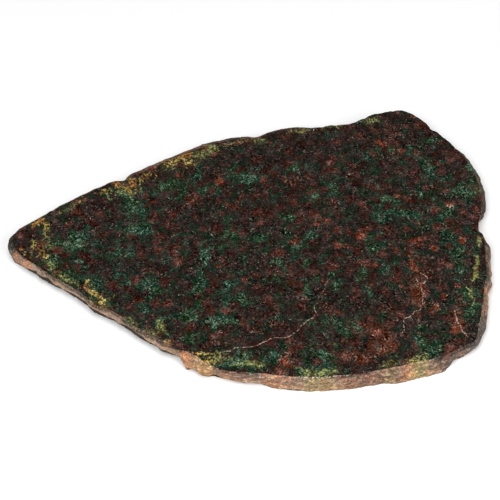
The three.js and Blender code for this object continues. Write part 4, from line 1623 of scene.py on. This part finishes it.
# ---------------------------------------------------------------- the rim's relief
@dataclass(frozen=True)
class RimRelief:
    """The fine relief of the natural skin, made by a geometry tree.

    Sizes and heights are in millimetres. A chance is a window on each cell's random number, so it says how
    many of the cells are garnets or pits.
    """

    lump_size: float = 3.6
    lump_height: float = 0.3
    garnet_gap: float = 2.3
    garnet_height: float = 0.22
    pit_gap: float = 3.4
    pit_depth: float = 0.5
    grit_size: float = 0.8
    grit_height: float = 0.16
    edge_wear: float = 0.3
    chip_size: float = 1.3
    dome_window: Window = (0.12, 0.42, 1.0, 0.0)
    dome_chance: Window = (0.45, 0.5)
    pit_window: Window = (0.05, 0.4, 1.0, 0.0)
    pit_chance: Window = (0.6, 0.66)
    chip_window: Window = (0.45, 0.75)
    seed: float = 5.0

    def _interface(self, tree: bpy.types.NodeTree) -> None:
        """Gives the tree its named inputs and its output.

        Args:
            tree: the geometry tree.
        """
        tree.interface.new_socket("Geometry", in_out="INPUT", socket_type="NodeSocketGeometry")
        for name in self._sizes():
            tree.interface.new_socket(name, in_out="INPUT", socket_type="NodeSocketFloat")
        for name in ("Low Corner", "High Corner"):
            tree.interface.new_socket(name, in_out="INPUT", socket_type="NodeSocketVector")
        for face in Face:
            tree.interface.new_socket(face.name.title(), in_out="INPUT", socket_type="NodeSocketMaterial")
        tree.interface.new_socket("Geometry", in_out="OUTPUT", socket_type="NodeSocketGeometry")

    def _sizes(self) -> dict[str, float]:
        """Names the tree's number inputs.

        Returns:
            The value of each, by name.
        """
        return {
            "Lump Size": self.lump_size,
            "Lump Height": self.lump_height,
            "Garnet Gap": self.garnet_gap,
            "Garnet Height": self.garnet_height,
            "Pit Gap": self.pit_gap,
            "Pit Depth": self.pit_depth,
            "Grit Size": self.grit_size,
            "Grit Height": self.grit_height,
            "Edge Wear": self.edge_wear,
            "Seed": self.seed,
        }

    def _height(self, graph: Graph, given: bpy.types.NodeOutputs, skin: Socket) -> tuple[Socket, Socket]:
        """Works out how far the skin is pushed out or in.

        Args:
            graph: the geometry tree.
            given: the tree's inputs.
            skin: how fully the relief acts.

        Returns:
            The distance in metres, and how much of each place is a standing garnet.
        """
        at = graph.scaled(graph.add("GeometryNodeInputPosition").outputs[0], 1 / MM)
        brink = self._attribute(graph, "brink")
        seed = given["Seed"]
        pit_seed, grit_seed, chip_seed = (graph.math("ADD", seed, float(k)) for k in (1, 2, 3))

        lumps = graph.level(at, Cloud(given["Lump Size"], seed, 3))
        lumps = graph.product(graph.math("SUBTRACT", lumps, 0.5), given["Lump Height"], 2.0)
        garnets = graph.cells(at, Cells(given["Garnet Gap"], seed))
        chance = graph.parts(garnets.outputs["Color"])[0]
        dome = graph.step(garnets.outputs["Distance"], *self.dome_window)
        dome = graph.product(dome, graph.step(chance, *self.dome_chance))
        pits = graph.cells(at, Cells(given["Pit Gap"], pit_seed))
        chance = graph.parts(pits.outputs["Color"])[0]
        pit = graph.step(pits.outputs["Distance"], *self.pit_window)
        pit = graph.product(pit, graph.step(chance, *self.pit_chance))
        grit = graph.level(at, Cloud(given["Grit Size"], grit_seed, 3))
        grit = graph.product(graph.math("SUBTRACT", grit, 0.6), given["Grit Height"])

        relief = graph.math("ADD", lumps, graph.product(dome, given["Garnet Height"]))
        relief = graph.math("SUBTRACT", relief, graph.product(pit, given["Pit Depth"]))
        relief = graph.product(graph.math("ADD", relief, grit), skin)
        chips = graph.level(at, Cloud(self.chip_size, chip_seed, 3))
        chips = graph.product(graph.step(chips, *self.chip_window), given["Edge Wear"], brink)
        return graph.product(graph.math("SUBTRACT", relief, chips), MM), graph.product(dome, skin)

    def _tree(self) -> bpy.types.NodeTree:
        """Builds the geometry tree.

        Returns:
            The tree, which moves the rim's points and gives each face its material.
        """
        tree = bpy.data.node_groups.new("rim_relief", "GeometryNodeTree")
        self._interface(tree)
        graph = Graph(tree)
        given = graph.add("NodeGroupInput").outputs
        skin = self._attribute(graph, "skin")
        out, garnet = self._height(graph, given, skin)

        normal = graph.add("GeometryNodeInputNormal").outputs[0]
        level = graph.vector("NORMALIZE", graph.vector("MULTIPLY", normal, (1.0, 1.0, 0.0)))
        facing = graph.add("ShaderNodeMix", {0: skin, 4: level, 5: normal}, data_type="VECTOR").outputs[1]
        here = graph.add("GeometryNodeInputPosition").outputs[0]
        there = graph.vector("ADD", here, graph.scaled(facing, out))
        there = graph.vector("MINIMUM", there, given["High Corner"])
        there = graph.vector("MAXIMUM", there, given["Low Corner"])
        inputs = {"Geometry": given["Geometry"], "Position": there}
        moved = graph.add("GeometryNodeSetPosition", inputs).outputs[0]
        marked = graph.add(
            "GeometryNodeStoreNamedAttribute",
            {"Geometry": moved, "Name": "garnet", "Value": garnet},
            data_type="FLOAT",
            domain="POINT",
        ).outputs[0]
        shape = graph.add("GeometryNodeRealizeInstances", {"Geometry": marked}).outputs[0]
        kind = graph.add("GeometryNodeInputNamedAttribute", {"Name": "face_kind"}, data_type="INT").outputs[0]
        for face in Face:
            pair = {2: kind, 3: int(face)}
            same = graph.add("FunctionNodeCompare", pair, data_type="INT", operation="EQUAL")
            inputs = {"Geometry": shape, "Selection": same.outputs[0], "Material": given[face.name.title()]}
            shape = graph.add("GeometryNodeSetMaterial", inputs).outputs[0]
        graph.add("NodeGroupOutput", {"Geometry": shape})
        return tree

    @staticmethod
    def _attribute(graph: Graph, name: str) -> Socket:
        """A number that the mesh carries."""
        return graph.add("GeometryNodeInputNamedAttribute", {"Name": name}, data_type="FLOAT").outputs[0]

    def apply(self, piece: bpy.types.Object, materials: dict[Face, bpy.types.Material]) -> None:
        """Runs the tree on a piece and keeps the result as its mesh.

        Args:
            piece: the slab, with the attributes skin, brink and face_kind on its mesh.
            materials: the finish of each kind of surface.
        """
        tree = self._tree()
        piece.data.materials.append(materials[Face.RIM])
        modifier = piece.modifiers.new("rim_relief", "NODES")
        modifier.node_group = tree
        low, high = SOLID_BOX
        values = {**self._sizes(), "Low Corner": low, "High Corner": high}
        values.update({face.name.title(): materials[face] for face in Face})
        for item in tree.interface.items_tree:
            if item.in_out == "INPUT" and item.name in values:
                modifier[item.identifier] = values[item.name]
        shaped = piece.evaluated_get(bpy.context.evaluated_depsgraph_get())
        mesh = bpy.data.meshes.new_from_object(shaped)
        piece.modifiers.clear()
        piece.data = mesh


# ---------------------------------------------------------------- the slab
@dataclass(frozen=True)
class Slab:
    """The whole stone: a fine rim between a polished face and a sawn one.

    Lengths are in millimetres. The depth of a plucked grain is a share of its radius. Over the skin depth
    from each edge the relief grows to its full strength, as the share of the way there raised to the skin
    power. Edges are worn over the brink depth.
    """

    grid: RimGrid = RimGrid()
    relief: RimRelief = RimRelief()
    polished_spacing: float = 0.85
    polished_margin: float = 0.5
    sawn_spacing: float = 2.2
    sawn_margin: float = 0.9
    pluck_count: int = 90
    pluck_radii: tuple[float, float] = (0.35, 0.8)
    pluck_depth: float = 0.22
    skin_depth: float = 0.9
    skin_power: float = 0.7
    brink_depth: float = 0.7
    seed: int = 11

    def _plucks(self, low: np.ndarray, high: np.ndarray) -> tuple[Pluck, ...]:
        """Scatters plucked grains over the polished face.

        Args:
            low: the lowest x and y of the face.
            high: its highest x and y.

        Returns:
            The plucked grains, some of which may fall outside the outline.
        """
        rng = np.random.default_rng(self.seed)
        places = rng.uniform(low, high, (self.pluck_count, 2))
        radii = rng.uniform(*self.pluck_radii, self.pluck_count)
        return tuple(Pluck(x, y, r, self.pluck_depth * r) for (x, y), r in zip(places, radii))

    def _mesh(self) -> tuple[bpy.types.Mesh, int]:
        """Builds the closed mesh and the fields that it carries.

        Returns:
            The mesh, and how many rows of the rim it has.
        """
        rim = self.grid.points(SolidRings(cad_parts[NODE]).rings)
        rows, columns, _ = rim.shape
        top, foot = rim[0], rim[-1]
        ahead = np.roll(top[:, :2], -2, 0) - np.roll(top[:, :2], 2, 0)
        outward = np.stack([ahead[:, 1], -ahead[:, 0]], axis=1)
        outward /= np.linalg.norm(outward, axis=1, keepdims=True)

        plucks = self._plucks(top[:, :2].min(0), top[:, :2].max(0))
        drawn = (*VEINS, *OCHRE_THREADS, *OLIVE_THREADS)
        polished = FlatSheet(self.polished_spacing, self.polished_margin, drawn, plucks)
        sawn = FlatSheet(self.sawn_spacing, self.sawn_margin)
        top_points, top_faces = polished.build(top[:, :2], outward)
        foot_points, foot_faces = sawn.build(foot[:, :2], outward)

        lifted = np.column_stack([top_points, top[0, 2] - polished.drops(top_points)])
        grounded = np.column_stack([foot_points, np.zeros(len(foot_points))])
        points = np.concatenate([rim.reshape(-1, 3), lifted, grounded])
        inner = rows * columns
        ring = np.arange(columns)
        top_ids = np.concatenate([ring, inner + np.arange(len(top_points))])
        foot_inner = inner + len(top_points) + np.arange(len(foot_points))
        foot_ids = np.concatenate([(rows - 1) * columns + ring, foot_inner])
        row, column = np.meshgrid(np.arange(rows - 1), np.arange(columns), indexing="ij")
        upper = row * columns + column
        beside = row * columns + (column + 1) % columns
        quads = np.stack([upper, upper + columns, beside + columns, beside], axis=-1).reshape(-1, 4)
        faces = [*quads.tolist(), *top_ids[top_faces].tolist(), *foot_ids[foot_faces][:, ::-1].tolist()]

        mesh = bpy.data.meshes.new("eclogite_slab_stone")
        mesh.from_pydata((points * MM).tolist(), [], faces)
        kinds = [Face.RIM] * len(quads) + [Face.POLISHED] * len(top_faces) + [Face.SAWN] * len(foot_faces)
        self._store(mesh, "face_kind", "INT", "FACE", np.array(kinds, dtype=np.int32))
        self._fields(mesh, points, rows, outward)
        return mesh, rows

    def _fields(self, mesh: bpy.types.Mesh, points: np.ndarray, rows: int, outward: np.ndarray) -> None:
        """Stores the listed minerals and stains, and where the relief may act.

        Args:
            mesh: the closed mesh.
            points: its points, in millimetres, the rim's first.
            rows: the rim's rows.
            outward: the outward direction of each of the rim's columns.
        """
        inner = rows * len(outward)
        plan = points[:, :2].copy()
        rim_plan = plan[:inner].reshape(rows, -1, 2)
        rim_plan[:] = rim_plan[0] - outward
        for attribute, names in FIELDS.items():
            values = [cover(PATCHES.get(name, []), plan) for name in names]
            for k, name in enumerate(names):
                traced = self._trace(LINES.get(name, []), points, inner)
                values[k] = np.maximum(values[k], traced)
            self._store(mesh, attribute, "FLOAT_VECTOR", "POINT", np.column_stack(values))

        height = points[:, 2].max()
        depth = np.minimum(points[:, 2], height - points[:, 2])
        skin = np.zeros(len(points))
        skin[:inner] = np.clip(depth[:inner] / self.skin_depth, 0, 1) ** self.skin_power
        brink = np.zeros(len(points))
        brink[:inner] = np.clip(1 - depth[:inner] / self.brink_depth, 0, 1)
        self._store(mesh, "skin", "FLOAT", "POINT", skin)
        self._store(mesh, "brink", "FLOAT", "POINT", brink)

    @staticmethod
    def _trace(lines: list[Line], points: np.ndarray, inner: int) -> np.ndarray:
        """How strongly each point of the polished face lies on one of the lines.

        Args:
            lines: the veins or threads of stain.
            points: the mesh's points, in millimetres.
            inner: how many of them are the rim's, which come first.

        Returns:
            One value for each point, 0 beside the lines.
        """
        found = np.zeros(len(points))
        on_top = points[inner:, 2] > 1
        for line in lines:
            near = line.strength * np.clip(1 - line.gap(points[inner:, :2]) / line.half_width, 0, 1)
            found[inner:] = np.maximum(found[inner:], np.where(on_top, near, 0))
        return found

    @staticmethod
    def _store(mesh: bpy.types.Mesh, name: str, kind: str, domain: str, values: np.ndarray) -> None:
        """Stores values on a mesh.

        Args:
            mesh: the mesh.
            name: the attribute's name.
            kind: its data type.
            domain: POINT or FACE.
            values: one value or vector for each point or face.
        """
        layer = mesh.attributes.new(name, kind, domain)
        key = "vector" if kind == "FLOAT_VECTOR" else "value"
        layer.data.foreach_set(key, np.ascontiguousarray(values).ravel())

    @staticmethod
    def _sharpen(mesh: bpy.types.Mesh) -> None:
        """Shades the mesh smoothly, with a sharp edge where two kinds of surface meet.

        Args:
            mesh: the finished mesh.
        """
        mesh.polygons.foreach_set("use_smooth", [True] * len(mesh.polygons))
        shaped = bmesh.new()
        shaped.from_mesh(mesh)
        for edge in shaped.edges:
            edge.smooth = len({face.material_index for face in edge.link_faces}) == 1
        shaped.to_mesh(mesh)
        shaped.free()

    def build(self) -> bpy.types.Object:
        """Makes the slab and attaches it to the root body.

        Returns:
            The finished piece.
        """
        mesh, rows = self._mesh()
        piece = bpy.data.objects.new("eclogite_slab_stone", mesh)
        bpy.context.scene.collection.objects.link(piece)
        rock = Rock()
        finishes = {
            Face.POLISHED: PolishedFinish(rock).material(),
            Face.RIM: RimFinish(rock).material(),
            Face.SAWN: SawnFinish(rock).material(),
        }
        self.relief.apply(piece, finishes)
        self._sharpen(piece.data)
        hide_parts(NODE)
        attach(piece, BODY)
        triangles = sum(len(face.vertices) - 2 for face in piece.data.polygons)
        LOG.info("%s: %d rows, %d triangles", piece.name, rows, triangles)
        return piece


# ---------------------------------------------------------------- the studio
@dataclass(frozen=True)
class Lamp:
    """A soft square light: where it stands and how wide it is, in metres, and its power in watts.

    A lamp without glare is cross-polarised, as is usual for polished stone: it lights the slab but doesn't
    show in it.
    """

    name: str
    place: tuple[float, float, float]
    width: float
    power: float
    glare: bool = True

    def build(self) -> None:
        """Adds the light, aimed at the slab."""
        light = bpy.data.lights.new(self.name, "AREA")
        light.size = self.width
        light.energy = self.power
        holder = bpy.data.objects.new(self.name, light)
        holder.visible_glossy = self.glare
        holder.location = self.place
        holder.rotation_euler = (-Vector(self.place)).to_track_quat("-Z", "Y").to_euler()
        bpy.context.scene.collection.objects.link(holder)


@dataclass(frozen=True)
class Studio:
    """A plain pale floor, soft lights and the camera. Lengths are in metres and angles in degrees."""

    floor_width: float = 3.0
    floor_cloud: Cloud = Cloud(0.4, 41.0)
    elevation: float = 50.0
    distance: float = 0.516
    lens: float = 100.0
    sensor: float = 36.0
    aim: tuple[float, float, float] = (-0.00006, -0.00792, 0.008)
    air: Colour = rgb(0.012, 0.012, 0.012)
    lamps: tuple[Lamp, ...] = (
        Lamp("key_light", (-0.5, -0.8, 1.1), 0.7, 14.0),
        Lamp("fill_light", (0.8, -0.7, 0.8), 0.8, 8.5, glare=False),
        Lamp("top_light", (0.0, -0.3, 1.4), 0.8, 12.5, glare=False),
    )

    def floor(self) -> None:
        """Lays the floor under the slab."""
        half = self.floor_width / 2
        corners = [(-half, -half, 0), (half, -half, 0), (half, half, 0), (-half, half, 0)]
        mesh = bpy.data.meshes.new("floor")
        mesh.from_pydata(corners, [], [(0, 1, 2, 3)])
        material, graph, surface = new_material("pale_floor")
        at = graph.add("ShaderNodeTexCoord").outputs["Object"]
        cloud = graph.level(at, self.floor_cloud)
        colour = graph.ramp(cloud, FLOOR_TONES)
        graph.feed(surface, {"Base Color": colour, "Roughness": 0.9, "Specular IOR Level": 0.1})
        mesh.materials.append(material)
        floor = bpy.data.objects.new("floor", mesh)
        bpy.context.scene.collection.objects.link(floor)
        floor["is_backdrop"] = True

    def camera(self) -> None:
        """Stands the camera at its angle above the slab's near side."""
        lens = bpy.data.cameras.new("camera")
        lens.lens = self.lens
        lens.sensor_width = self.sensor
        lens.clip_start = 0.01
        holder = bpy.data.objects.new("camera", lens)
        tilt = math.radians(self.elevation)
        back = Vector((0.0, -math.cos(tilt), math.sin(tilt)))
        holder.location = Vector(self.aim) + back * self.distance
        holder.rotation_euler = (-back).to_track_quat("-Z", "Y").to_euler()
        bpy.context.scene.collection.objects.link(holder)
        bpy.context.scene.camera = holder

    def build(self) -> None:
        """Sets up the whole studio."""
        self.camera()
        self.floor()
        for lamp in self.lamps:
            lamp.build()
        world = bpy.data.worlds.new("studio")
        world.use_nodes = True
        world.node_tree.nodes["Background"].inputs["Color"].default_value = self.air
        bpy.context.scene.world = world
        bpy.context.scene.view_settings.view_transform = "Standard"
        LOG.info("studio: %d lights", len(self.lamps))


def main() -> None:
    """Builds the studio and the slab."""
    logging.basicConfig(level=logging.INFO, format="%(name)s %(message)s")
    Studio().build()
    Slab().build()
    boxes = {"solid": SOLID_BOX, "visual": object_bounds()}
    json.dumps({name: [list(corner) for corner in box] for name, box in boxes.items()})


if __name__ == "__main__":
    main()
